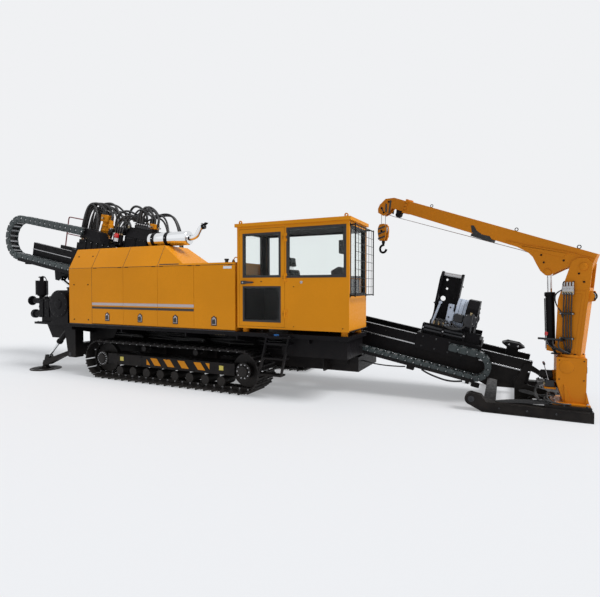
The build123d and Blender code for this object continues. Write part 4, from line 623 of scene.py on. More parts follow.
def energy_chains():
    """Both energy chains: a bend each, and straight runs of links along the mast."""
    table = (
        # name, bend s, bend n, outer radius, thick, y, width, side, fixed s, moving s, links, slide body
        ("rear", -6.926, 0.262, 0.645, 0.205, -0.655, 0.28, -1, -3.5, -4.39, (14, 12, 9), "carriage"),
        ("front", 5.678, -0.088, 0.272, 0.115, -0.665, 0.24, 1, 3.35, 5.2, (16, 3, 6), "vise"),
    )
    margin = 0.06
    for name, bend_s, bend_n, outer, thick, y, width, side, fixed, moving, links, slide in table:
        mid = outer - thick / 2
        lines = [(across, thick * (0.15 + 0.03 * (k % 2)))
                 for k, across in enumerate(row(y - width / 2 + margin, (width - 2 * margin) / 4, 5))]
        for kind, count, far, level in (("lower", links[0], fixed, -1), ("upper", links[1], moving, 1)):
            piece = Piece(f"{name}_chain_{kind}_links")
            pitch = (far - bend_s) / count
            n = bend_n + level * mid
            for s in row(bend_s + pitch / 2, pitch, count):
                piece.place = MAST @ Matrix.Translation((s, y, n))
                chain_link(piece, abs(pitch), thick, width)
            piece.place = MAST
            for across, radius in lines:
                piece.rod((bend_s, across, n), (far, across, n), radius, HOSE, 10)
            thing = piece.done(None, [f"{name}_chain_{kind}"])
            if level > 0:
                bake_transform(thing)
            else:
                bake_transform(thing)
        piece = Piece(f"{name}_chain_bend_links")
        for number in range(links[2]):
            angle = math.pi * (number + 0.5) / links[2]
            place = Matrix.Translation((bend_s + side * mid * math.sin(angle), y,
                                        bend_n + mid * math.cos(angle)))
            piece.place = MAST @ place @ Matrix.Rotation(side * angle, 4, "Y")
            chain_link(piece, math.pi * mid / links[2] * 1.03, thick - 0.012, width)
        piece.place = MAST
        for across, radius in lines:
            path = []
            for angle in row(0.0, math.pi / 24, 25):
                path.append((bend_s + side * mid * math.sin(angle), across, bend_n + mid * math.cos(angle)))
            piece.sweep(path, radius, HOSE)
        piece.done(f"{name}_bend", [f"{name}_chain_bend"])


def window_frame(piece, u, v, width, a, b, finish, axis="y"):
    """Four strips round an opening, mitred by overlap."""
    lap = 0.004
    left = u[0] - lap
    right = u[1] + lap
    for outline in (rect(left, v[0] - lap, right, v[0] + width),
                    rect(left, v[1] - width, right, v[1] + lap),
                    rect(left, v[0] + width, u[0] + width, v[1] - width),
                    rect(u[1] - width, v[0] + width, right, v[1] - width)):
        piece.prism(outline, a, b, finish, axis, 0.002)


def hood_trim():
    """Stripes, latches, seams, bolts and small fittings of the engine hood."""
    skin = HOOD_Y
    latch_z = 1.385
    arch = [(-0.066, 1.292), (0.066, 1.292), (0.066, 1.42), (0.045, 1.452), (0, 1.49), (-0.045, 1.452),
            (-0.066, 1.42)]
    layers = (
        # share of the arch across and upwards, its shift upwards, depth from and to, finish
        (1.0, 1.0, 0.0, 0.006, 0.0, PLASTIC),
        (0.74, 0.76, 0.0, 0.013, 0.004, STRIPE_GREY),
        (0.6, 0.58, -0.005, 0.019, 0.01, PLASTIC),
    )
    for number in range(4):
        x0 = HOOD_SEAMS[number] + 0.003
        x1 = HOOD_SEAMS[number + 1] - 0.003
        middle = (x0 + x1) / 2
        piece = Piece(f"hood_door_{number + 1}_trim")
        if number < 3:
            for low, high, finish in ((1.637, 1.696, STRIPE_GREY), (1.56, 1.61, STRIPE_BLACK)):
                piece.prism(rect(x0, low, x1, high), skin - 0.0025, skin, finish, "y", 0.001)
        for across, upwards, shift, outer, inner, finish in layers:
            outline = [(middle + u * across, latch_z + shift + (v - latch_z) * upwards) for u, v in arch]
            piece.prism(outline, skin - outer, skin - inner, finish, "y", 0.004)
        profile = [(0, 0.011), (0.006, 0.011), (0.008, 0.009)]
        piece.lathe(profile, (middle, skin - 0.018, 1.425), NEAR, STEEL, 16)
        for x in (x0 + 0.1, x1 - 0.1):
            piece.rod((x - 0.05, skin + 0.002, 2.47), (x + 0.05, skin + 0.002, 2.47), 0.008, BLACK, 10)
        piece.done(f"hood_door_{number + 1}")
    piece = Piece("hood_fittings")
    slant = Vector((0, -0.885, 0.467))
    high_part_end = -0.55
    piece.bolts((-3.02, -2.56), skin, (2.1, 1.3), NEAR, 0.012, BLACK)
    piece.bolts((-3.02, -2.56), -1.445, 2.75, slant, 0.012, BLACK)
    for x in HOOD_SEAMS[:3]:
        low = Vector((x, skin, 2.48)) + slant * 0.0006
        high = Vector((x, -1.352, 2.928)) + slant * 0.0006
        piece.rod(low, high, 0.0028, STRIPE_BLACK, 6, 0.001)
        if x < high_part_end:
            piece.rod((x, -1.35, 2.9305), (x, -0.59, 2.9305), 0.0028, STRIPE_BLACK, 6, 0.001)
    seam_x = HOOD_SEAMS[0] - 0.003
    piece.rod((seam_x, skin - 0.0002, 1.205), (seam_x, skin - 0.0002, 2.475), 0.0022, STRIPE_BLACK, 6)
    piece.rod((-3.186, skin - 0.0002, 2.4765), (1.398, skin - 0.0002, 2.4765), 0.003, STRIPE_BLACK, 6)
    piece.box((-3.19, skin - 0.004, 1.192), (1.4, skin + 0.02, 1.212), RUBBER, 0.003)
    strip = Matrix.Translation((-0.215, -1.5735, 2.51)) @ Matrix.Rotation(math.radians(-27.8), 4, "X")
    piece.box((-0.255, -0.002, -0.01), (0.255, 0.002, 0.01), STRIPE_BLACK, 0.001, turn=strip)
    piece.box((1.135, skin - 0.002, 2.395), (1.325, skin, 2.445), WHITE, 0.0008)
    cap = [(0, 0.05), (0.02, 0.05), (0.02, 0.034), (0.06, 0.034), (0.062, 0.046), (0.085, 0.048),
           (0.092, 0.04), (0.094, 0.01)]
    piece.lathe(cap, (0.98, -1.25, HOOD_LOW_TOP), UP, PLASTIC, 28)
    stud = [(0, 0.03), (0.05, 0.03), (0.055, 0.022), (0.075, 0.018)]
    piece.lathe(stud, (1.13, -1.23, HOOD_LOW_TOP), UP, BLACK, 20)
    grip = [(1.25, 0.0), (1.255, 0.073), (1.3, 0.103), (1.345, 0.073), (1.35, 0.0)]
    piece.sweep(smooth_path([(x, -1.4, HOOD_LOW_TOP + rise) for x, rise in grip]), 0.009, PAINT)
    piece.bolts((-2.9, -2.1, -1.6), (-1.25, -0.68), HOOD_TOP, UP, 0.012, BLACK)
    piece.bolts((0.4, 1.2), (-1.25, -0.68), HOOD_LOW_TOP, UP, 0.012, BLACK)
    piece.done("chassis")


def exhaust_dress():
    """Polished muffler with its straps, bracket feet, bent pipe and rain flap."""
    y = -1.07
    z = 3.092
    piece = Piece("exhaust_dressed")
    can = [(0, 0.09), (0.004, 0.125), (0.018, 0.145), (0.035, 0.15), (1.05, 0.15), (1.067, 0.145),
           (1.081, 0.125), (1.085, 0.07)]
    strap = [(-0.045, 0.1515), (-0.045, 0.156), (0.045, 0.156), (0.045, 0.1515)]
    piece.lathe(can, (-1.165, y, z), FRONT, CHROME, 48)
    foot = HOOD_TOP
    for x in (-1.01, -0.64):
        piece.lathe(strap, (x, y, z), FRONT, BLACK, 48)
        piece.box((x - 0.04, y - 0.075, foot), (x + 0.04, y + 0.075, z - 0.11), BLACK, 0.004)
        piece.box((x - 0.06, y - 0.11, foot - 0.004), (x + 0.06, y + 0.11, foot + 0.012), BLACK, 0.003)
        piece.rod((x, y - 0.175, z + 0.01), (x, y - 0.13, z + 0.01), 0.014, STEEL, 12)
    pipe = [(-0.09, 0.0), (0.01, 0.004), (0.105, 0.05), (0.16, 0.13), (0.215, 0.205), (0.31, 0.226)]
    path = smooth_path([(x, y, z + rise) for x, rise in pipe], 8)
    piece.sweep(path, 0.052, CHROME, 28)
    piece.sweep(path[-6:], 0.055, BLACK, 28)
    piece.lathe([(0, 0.058), (0.03, 0.058)], (-0.086, y, z), FRONT, BLACK, 28)
    flap = Matrix.Translation((0.312, y, z + 0.262)) @ Matrix.Rotation(math.radians(-35), 4, "Y")
    piece.box((-0.062, -0.056, -0.004), (0.062, 0.056, 0.004), BLACK, 0.002, turn=flap)
    piece.rod((0.262, y - 0.06, z + 0.284), (0.262, y + 0.06, z + 0.284), 0.008, STEEL, 12)
    piece.rod((-0.9, y, HOOD_TOP), (-0.9, y, z - 0.13), 0.05, CHROME, 24)
    piece.done("chassis", ["exhaust"])


def cab_trim():
    """Rubber gaskets, door furniture, lock, labels and roof details of the cab."""
    skin = CAB_Y
    window_z = (2.21, 3.095)
    shell = Piece("cab_fittings")
    window_frame(shell, (2.49, 3.605), window_z, 0.042, skin - 0.004, skin + 0.052, RUBBER)
    window_frame(shell, (1.56, 3.605), window_z, 0.042, -0.652, -0.596, RUBBER)
    window_frame(shell, (-1.535, -0.655), (1.9, 3.09), 0.04, 3.608, 3.664, RUBBER, "x")
    window_frame(shell, (-1.5, -0.7), window_z, 0.04, 1.446, 1.502, RUBBER, "x")
    window_frame(shell, (1.497, 2.453), (1.317, 3.113), 0.012, skin + 0.01, skin + 0.052, RUBBER)
    lock = [(0, 0.027), (0.006, 0.027), (0.01, 0.023), (0.01, 0.016), (0.02, 0.015), (0.022, 0.012)]
    shell.lathe(lock, (2.78, skin, 2.127), NEAR, STEEL, 28)
    shell.box((2.777, skin - 0.024, 2.118), (2.783, skin - 0.018, 2.136), BLACK, 0.001)
    shell.box((1.415, -1.628, 3.16), (3.695, -1.62, 3.222), PAINT, 0.002)
    for x in (1.51, 3.6):
        shell.box((x - 0.045, -1.58, 3.22), (x + 0.045, -1.54, 3.226), BLACK, 0.002)
    shell.rod((1.46, -0.9, 3.224), (3.6, -0.9, 3.224), 0.01, BLACK, 10)
    shell.box((1.52, -1.5, 3.219), (3.58, -0.68, 3.223), PAINT, 0.002)
    shell.prism(rect(2.235, 1.128, 2.335, 1.188), skin - 0.002, skin, LABEL_BLUE, "y", 0.0006)
    for x, z in ((2.63, 2.05), (2.63, 1.34), (3.55, 1.34)):
        shell.bolt((x, skin, z), NEAR, 0.007, BLACK)
    shell.prism(rect(3.61, 1.285, 3.69, 1.3), -1.585, -0.605, BLACK, "y", 0.003)
    shell.done("chassis")
    door = Piece("cab_door_fittings")
    handle_y = skin - 0.036
    window_frame(door, (1.575, 2.37), (2.22, 3.03), 0.04, skin - 0.004, skin + 0.049, RUBBER)
    window_frame(door, (1.575, 2.37), (1.405, 2.056), 0.034, skin - 0.004, skin + 0.049, RUBBER)
    handle = [(1.545, 2.096), (1.64, 2.096), (1.655, 2.106), (1.8, 2.112), (1.812, 2.128), (1.8, 2.146),
              (1.655, 2.152), (1.64, 2.16), (1.545, 2.16)]
    door.prism(handle, handle_y, skin - 0.004, PLASTIC, "y", 0.006)
    door.lathe([(0, 0.014), (0.005, 0.014), (0.007, 0.01)], (1.59, handle_y, 2.128), NEAR, STEEL, 16)
    for z in (1.56, 2.215, 2.93):
        door.bolts(2.425, -1.6028, (z - 0.014, z + 0.014), NEAR, 0.006, BLACK)
    door.bolt((1.97, skin, 2.145), NEAR, 0.01, BLACK)
    door.done("cab_door")
    room = Piece("cab_interior")
    back = 1.502
    floor = 1.345
    sill = 2.19
    roof = 3.088
    linings = (
        # low corner, high corner, finish, edge
        ((back, -1.538, 3.085), (3.608, -0.652, 3.108), HEADLINER, 0.004),
        ((back, -1.538, 1.33), (3.608, -0.652, 1.342), RUBBER, 0.003),
        ((back, -0.69, floor), (3.4, -0.652, sill), PLASTIC, 0.006),
        ((2.52, -1.54, floor), (3.6, -1.515, sill), PLASTIC, 0.006),
        ((back, -1.48, floor), (1.53, -0.7, sill), PLASTIC, 0.006),
        ((1.501, -0.699, sill), (1.512, -0.652, roof), HEADLINER, 0.002),
        ((1.501, -1.538, sill), (1.512, -1.503, roof), HEADLINER, 0.002),
        ((1.512, -0.662, sill), (1.556, -0.651, roof), HEADLINER, 0.002),
        ((2.456, -1.54, floor), (2.488, -1.528, roof), HEADLINER, 0.002),
        ((3.362, -1.29, 2.632), (3.438, -0.9, 2.868), PLASTIC, 0.01),
        ((3.3585, -1.27, 2.652), (3.3625, -0.92, 2.848), GLASS, 0.001),
        ((3.425, -1.32, 2.168), (3.6, -0.87, 2.184), PLASTIC, 0.004),
    )
    for low, high, finish, edge in linings:
        room.box(low, high, finish, edge)
    hump = [(3.25, 2.08), (3.4, 2.17), (3.4, 2.39), (3.33, 2.405), (3.19, 2.33), (3.21, 2.13)]
    room.prism(hump, -1.23, -0.96, PLASTIC, "y", 0.012)
    hanger = stepped(0.03, 0.02, 0.02, 0.24, 0.01)
    room.lathe(hanger, (3.4, CAB_SEAT_Y, 3.108), DOWN, PLASTIC, 20)
    boot = [(0, 0.045), (0.01, 0.045), (0.04, 0.022), (0.06, 0.016)]
    stick = [(0, 0.01), (0.1, 0.009), (0.105, 0.02), (0.13, 0.026), (0.185, 0.024), (0.2, 0.012)]
    for y in (-1.4, -0.79):
        room.lathe(boot, (2.8, y, 1.985), (0.15, 0, 1), RUBBER, 20)
        room.lathe(stick, (2.805, y, 2.03), (0.15, 0, 1), PLASTIC, 20)
        room.box((2.64, y - 0.045, 1.962), (2.88, y + 0.045, 1.99), PLASTIC, 0.008)
    for y in row(-1.22, 0.05, 6):
        room.lathe([(0, 0.011), (0.012, 0.01), (0.014, 0.006)], (3.46, y, 2.182), UP, STEEL, 12)
    room.done("chassis")
    guard = Piece("window_guard_dressed")
    x = CAB_FRONT_X + 0.09
    y0 = -1.535
    y1 = -0.44
    low = 1.9
    high = 3.09
    over = 0.022
    for z in (low, high):
        guard.rod((x, y0 - over, z), (x, y1 + over, z), 0.011, BLACK, 14)
    for y in (y0, y1):
        guard.rod((x, y, low - over), (x, y, high + over), 0.011, BLACK, 14)
    for z in row(low, (high - low) / 8, 8)[1:]:
        guard.rod((x - 0.004, y0, z), (x - 0.004, y1, z), 0.0045, GRIT, 8)
    for y in row(y0, (y1 - y0) / 7, 7)[1:]:
        guard.rod((x + 0.004, y, low), (x + 0.004, y, high), 0.0045, GRIT, 8)
    root = CAB_FRONT_X + 0.0005
    for y in (y0, -0.63):
        for z in (low, high):
            guard.box((root, y - 0.012, z - 0.012), (x, y + 0.012, z + 0.012), BLACK, 0.003)
            guard.box((root, y - 0.03, z - 0.03), (root + 0.0055, y + 0.03, z + 0.03), BLACK, 0.002)
    guard.done("chassis", ["window_guard"])


def boom_trim():
    """Ribs, hose wrap, eyes, bolts and rope of the boom, and the stripes and sheaves of its head."""
    piece = Piece("boom_root_ribs", BOOM)
    long_rib = [(0.15, 0.15), (0.16, 0.138), (0.98, 0.04), (1.24, 0.026), (1.24, 0.04), (0.985, 0.054),
                (0.165, 0.152)]
    short_rib = [(0.3, 0.115), (0.98, 0.028), (0.9, 0.006), (0.33, 0.04)]
    boss = [(0, 0.055), (0.012, 0.055), (0.02, 0.045), (0.028, 0.03), (0.028, 0.005)]
    web = 0.1
    for side in (-1, 1):
        out = (0, side, 0)
        for rib, edge in ((long_rib, 0.002), (short_rib, 0.003)):
            piece.prism(rib, *between(side, web, web + 0.008), BOOM_PAINT, "y", edge)
        piece.lathe(boss, (BOOM_CYLINDER_EYE[0], side * web, BOOM_CYLINDER_EYE[1]), out, BOOM_PAINT, 28)
        for u, v in ((0.56, -0.12), (0.64, -0.02), (0.3, 0.0)):
            piece.bolt((u, side * web, v), out, 0.013, BLACK)
    wrap = [(1.5, -0.016), (1.56, -0.06), (1.76, -0.062), (1.9, 0.01), (1.96, 0.12), (1.9, 0.13),
            (1.82, 0.06), (1.7, 0.02), (1.56, 0.03)]
    for side in (-1, 1):
        piece.prism(wrap, *between(side, 0.085, 0.091), RUBBER, "y", 0.002)
    piece.box((1.5, -0.085, -0.062), (1.9, 0.085, -0.012), RUBBER, 0.006)
    for u in (0.2, 1.2, 2.9):
        piece.ring((u, 0, 0.262), FAR, 0.026, 0.007, BLACK)
    piece.box((3.4, -0.1, 0.255), (3.45, 0.1, 0.262), BOOM_PAINT, 0.002)
    for side in (-1, 1):
        piece.bolts((3.405, 3.435), side * 0.099, (0.04, 0.11, 0.18), (0, side, 0), 0.006, BLACK)
    rope = [(0.3, -0.05, -0.06), (1.0, -0.05, -0.045), (3.7, -0.05, -0.155), (3.9, -0.04, -0.15)]
    piece.sweep(rope, 0.006, STEEL, 8)
    piece.done("boom")
    piece = Piece("boom_head_trim", BOOM)
    cheek = 0.07
    sheave = [(-0.016, 0.04), (-0.016, 0.085), (-0.008, 0.085), (-0.004, 0.072), (0.004, 0.072),
              (0.008, 0.085), (0.016, 0.085), (0.016, 0.04)]
    roller = [(-0.06, 0.05), (-0.045, 0.058), (0.045, 0.058), (0.06, 0.05)]
    for number in range(3):
        u = 3.8 + number * 0.085
        v = 0.15 - number * 0.09
        stripe = [(u, v), (u + 0.045, v), (u - 0.015, -0.11), (u - 0.06, -0.11)]
        for side in (-1, 1):
            piece.prism(stripe, *between(side, cheek, cheek + 0.003), STRIPE_BLACK, "y", 0.0008)
    for side in (-1, 1):
        for u, v in (BOOM_HEAD_PIN, (3.9, -0.13), (3.86, 0.11)):
            piece.bolt((u, side * cheek, v), (0, side, 0), 0.017, BLACK)
    piece.lathe(sheave, (3.94, 0, -0.02), FAR, STEEL, 36)
    piece.lathe(roller, (3.56, 0, -0.085), FAR, BLACK, 28)
    bracket = [(3.5, 0.01), (3.62, 0.01), (3.59, -0.1), (3.53, -0.1)]
    for side in (-1, 1):
        piece.prism(bracket, *between(side, cheek - 0.008, cheek), BLACK, "y", 0.003)
    piece.done("boom_tip")


def column_trim():
    """Frames, pins, valve bank, winch, lever and hoses of the crane's column."""
    piece = Piece("crane_column_trim", CRANE)
    frame_rib = [(0.15, 1.0), (0.11, 1.9), (0.09, 1.98), (-0.215, 1.98), (-0.11, 1.0), (-0.07, 1.0),
                 (-0.17, 1.94), (0.06, 1.94), (0.075, 1.88), (0.11, 1.0)]
    boss = [(0, 0.06), (0.01, 0.06), (0.016, 0.052), (0.026, 0.035), (0.026, 0.004)]
    for side in (-1, 1):
        out = (0, side, 0)
        piece.prism(frame_rib, *between(side, 0.13, 0.136), BOOM_PAINT, "y", 0.002)
        piece.lathe(boss, (BOOM_PIN[0], side * 0.135, BOOM_PIN[1]), out, BOOM_PAINT, 28)
        for x, z in ((-0.05, 2.12), (-0.19, 2.12), (-0.12, 2.25)):
            piece.bolt((x, side * 0.135, z), out, 0.013, BLACK)
    for x, y in circle(12, 0.165):
        piece.bolt((x, y, 0.986), UP, 0.012, BLACK)
    face = 0.131
    clamp_z = (1.626, 1.237)
    piece.box((-0.07, face, 1.92), (0.095, face + 0.075, 2.06), STEEL, 0.01)
    for x in row(-0.05, 0.04, 4):
        piece.lathe([(0, 0.016), (0.06, 0.016), (0.064, 0.01)], (x, face + 0.035, 2.06), UP, STEEL, 16)
        piece.lathe([(0, 0.018), (0.016, 0.018), (0.018, 0.012)], (x, face + 0.07, 1.96), FAR, BRASS, 6)
        piece.lathe([(0, 0.013), (0.024, 0.011)], (x, face + 0.07, 2.02), FAR, STEEL, 12)
    piece.ring((0.01, face + 0.045, 2.08), FAR, 0.075, 0.01, BLACK, 0, 180)
    for z in clamp_z:
        piece.box((-0.07, face, z - 0.014), (0.13, face + 0.05, z + 0.014), GRIT, 0.004)
        piece.bolts((-0.055, 0.115), face + 0.05, z, FAR, 0.009, STEEL)
    winch = (-0.258, 0, 1.9)
    drum = [(-0.08, 0.04), (-0.08, 0.07), (-0.072, 0.07), (-0.07, 0.046), (0.07, 0.046), (0.072, 0.07),
            (0.08, 0.07), (0.08, 0.04)]
    piece.lathe(drum, winch, FAR, BLACK, 32)
    piece.lathe([(-0.068, 0.047), (-0.064, 0.058), (0.064, 0.058), (0.068, 0.047)], winch, FAR, STEEL, 32)
    ear = [(-0.18, 1.8), (-0.18, 2.0), (-0.296, 1.98), (-0.324, 1.9), (-0.296, 1.825)]
    for y in (-0.102, 0.084):
        piece.prism(ear, y, y + 0.018, BOOM_PAINT, "y", 0.003)
    lever_y = 0.225
    piece.box((0.06, face - 0.01, 1.19), (0.1, 0.24, 1.24), BLACK, 0.004)
    piece.rod((0.08, lever_y, 1.215), (0.42, lever_y, 1.215), 0.017, GRIT, 14)
    piece.rod((0.16, lever_y, 1.0), (0.27, lever_y, 1.205), 0.02, BLACK, 14)
    piece.box((0.1, 0.19, 0.984), (0.22, 0.26, 1.004), BLACK, 0.004)
    piece.rod((0.3, lever_y, 1.06), (0.3, lever_y, 1.27), 0.009, STEEL, 12)
    knob = [(0, 0.016), (0.012, 0.024), (0.05, 0.024), (0.064, 0.012)]
    piece.lathe(knob, (0.3, lever_y, 1.268), UP, SIGNAL_RED, 18)
    piece.box((-0.105, face, 2.185), (-0.01, face + 0.003, 2.24), WHITE, 0.001)
    piece.done("crane")
    routes = []
    for x in row(-0.03, 0.036, 4):
        points = [(x - 0.01, 0.08, 1.96), (x - 0.03, 0.12, 1.9), (x, 0.03, 1.76), (x, 0.028, clamp_z[0]),
                  (x, 0.028, clamp_z[1]), (x - 0.02, 0.03, 1.12), (x * 0.5, 0.02, 1.03),
                  (x * 0.5, -0.02, 1.0)]
        routes.append((0.01, points))
    routes.append((0.01, [(0.09, 0.03, 2.0), (0.19, 0.02, 1.96), (0.23, -0.03, 1.86), (0.18, -0.02, 1.72),
                           (0.1, 0.02, 1.64), (0.09, 0.03, 1.56)]))
    for k in range(3):
        lean = 0.12 + 0.08 * k
        routes.append((0.012, [(-0.02 + 0.03 * k, 0.02, 1.0), (0.05 + 0.03 * k, 0.2 - face, 1.04),
                               (0.12 + 0.04 * k, 0.26 - face, 1.08), (lean, 0.262 - face, 1.14),
                               (lean, lever_y - face, 1.195)]))
    hoses("crane_hoses", routes, CRANE @ Matrix.Translation((0, face, 0)), "crane")


def hook_dress():
    """Ropes, sheave, striped cheeks and hook of the hook block."""
    pin = on_boom(*BOOM_HEAD_PIN)
    piece = Piece("hook_block_dressed", CRANE @ Matrix.Translation(pin))
    for x in (-0.05, 0.05):
        piece.rod((x, 0, -0.345), (x, 0, -0.05), 0.0075, STEEL, 8)
    sleeve = [(-0.03, 0.02), (-0.03, 0.058), (-0.02, 0.06), (0.02, 0.06), (0.03, 0.058), (0.03, 0.02)]
    piece.lathe(sleeve, (0, 0, 0), FAR, BLACK, 28)
    half = [(0.06, -0.33), (0.1, -0.4), (0.11, -0.48), (0.095, -0.59), (0.06, -0.69)]
    egg = [(-0.06, -0.33)] + half + [(-x, z) for x, z in half[:0:-1]]
    for side in (-1, 1):
        piece.prism(egg, *between(side, 0.03, 0.07), BOOM_PAINT, "y", 0.01)
        for low in row(-0.62, 0.105, 3):
            band = [(-0.086, low), (0.088, low - 0.045), (0.096, low - 0.005), (-0.094, low + 0.04)]
            piece.prism(band, *between(side, 0.0695, 0.0712), STRIPE_BLACK, "y", 0.0005)
        piece.bolt((0, side * 0.07, -0.48), (0, side, 0), 0.02, BLACK)
    sheave = [(-0.03, 0.03), (-0.03, 0.1), (-0.014, 0.1), (-0.008, 0.08), (0.008, 0.08), (0.014, 0.1),
              (0.03, 0.1), (0.03, 0.03)]
    piece.lathe(sheave, (0, 0, -0.46), FAR, STEEL, 36)
    profile = [(0, 0.035), (0.05, 0.035), (0.06, 0.026), (0.095, 0.024)]
    piece.lathe(profile, (0, 0, -0.69), DOWN, BLACK, 24)
    hook = [(0, 0, -0.77)]
    for degrees in row(100, -17, 17):
        angle = math.radians(degrees)
        hook.append((0.08 * math.cos(angle) + 0.004, 0, 0.08 * math.sin(angle) - 0.86))
    piece.sweep(hook, 0.024, BLACK, 16)
    piece.done("hook", ["hook_block"])


def motor(piece, at, axis, length, radius, finish, ports):
    """A hydraulic motor: bolted flange, waisted barrel, rounded end cap and port blocks with fittings."""
    at = Vector(at)
    way = Vector(axis).normalized()
    flange = [(0, 1.05), (0.012, 1.12), (0.03, 1.12), (0.036, 0.86)]
    barrel = [(0.42, 0.84), (0.44, 0.96), (0.6, 0.97), (0.62, 0.86), (0.9, 0.84), (0.97, 0.72), (1, 0.45)]
    profile = [(along, radius * share) for along, share in flange]
    profile += [(length * along, radius * share) for along, share in barrel]
    piece.lathe(profile, at, way, finish, 32)
    side = way.orthogonal().normalized()
    other = way.cross(side)
    for u, v in circle(6, radius, 0.5):
        out = side * u + other * v
        piece.bolt(at + way * 0.03 + out * 0.99, way, 0.01, GRIT)
        piece.bolt(at + way * length * 0.6 + out * 0.88, way, 0.008, GRIT)
    fitting = [(0, 0.032), (0.035, 0.032), (0.038, 0.024), (0.062, 0.024), (0.064, 0.03), (0.085, 0.03)]
    for direction in ports:
        out = Vector(direction).normalized()
        spot = at + way * length * 0.78 + out * radius * 0.8
        piece.lathe(fitting, spot, out, BRASS, 6)
        piece.lathe([(0, 0.021), (0.04, 0.021)], spot + out * 0.085, out, STEEL, 16)


def below_top(point):
    """A hose's point on the mast, lowered where the hose would leave the frame's box."""
    s, y, n = point
    allowed = cad_high[2] - 0.035 - MAST_Z0 + s * math.sin(MAST_SLOPE)
    return s, y, min(n, allowed / math.cos(MAST_SLOPE))


def drive_motors():
    """Motors, filter, swivel and their cover on the carriage."""
    piece = Piece("drive_motors_dressed", MAST)
    for y, n in ((-0.19, 1.01), (0.19, 1.01), (-0.23, 0.64), (0.23, 0.64)):
        motor(piece, (-3.3, y, n), REAR, 0.62, 0.098, BLACK, ((0, math.copysign(1, y), 0), UP))
        piece.box((-3.9, y - 0.09, n - 0.09), (-3.74, y + 0.09, n + 0.09), GRIT, 0.01)
        piece.bolts(-3.9, (y - 0.065, y + 0.065), (n - 0.065, n + 0.065), REAR, 0.01, STEEL)
    piece.box((-4.42, -0.33, 0.266), (-4.04, 0.33, 0.46), BLACK, 0.008)
    piece.box((-4.42, -0.33, 0.455), (-4.04, 0.03, 0.7), BLACK, 0.01)
    swivel_s = -4.23
    swivel_y = -0.15
    swivel = [(0, 0.15), (0.02, 0.15), (0.024, 0.118), (0.2, 0.118), (0.206, 0.13), (0.24, 0.13),
              (0.246, 0.116), (0.33, 0.114), (0.336, 0.128), (0.37, 0.128), (0.376, 0.112), (0.47, 0.108)]
    piece.lathe(swivel, (swivel_s, swivel_y, 0.7), UP, PAINT, 36)
    cover = [(-4.355, -0.27), (-4.105, -0.27), (-4.085, -0.22), (-4.085, -0.07), (-4.12, -0.03),
             (-4.34, -0.03), (-4.375, -0.07), (-4.375, -0.22)]
    piece.prism(cover, 1.16, 1.35, PAINT, "z", 0.012)
    for u, v in circle(8, 0.134):
        piece.bolt((swivel_s + u, swivel_y + v, 0.72), UP, 0.01, STEEL)
    piece.bolts((-4.33, -4.13), (-0.235, -0.065), 1.35, UP, 0.011, STEEL)
    piece.lathe(stepped(0.026, 0.03, 0.034, 0.056), (swivel_s, -0.272, 1.25), NEAR, BRASS, 6)
    piece.box((-2.521, -0.35, 0.9), (-2.3, -0.17, 0.93), BLACK, 0.004)
    motor(piece, (-2.4, -0.26, 0.93), UP, 0.41, 0.088, BLACK, (FRONT, NEAR))
    piece.box((-2.49, -0.345, 1.205), (-2.31, -0.175, 1.335), PAINT, 0.012)
    piece.bolts((-2.47, -2.33), (-0.325, -0.195), 1.335, UP, 0.01, STEEL)
    canister = [(0, 0.07), (0.1, 0.07), (0.11, 0.06), (0.21, 0.058), (0.22, 0.03)]
    piece.lathe(canister, (-3.88, -0.315, 1.01), UP, PAINT, 28)
    piece.done("carriage", ["drive_motors"])


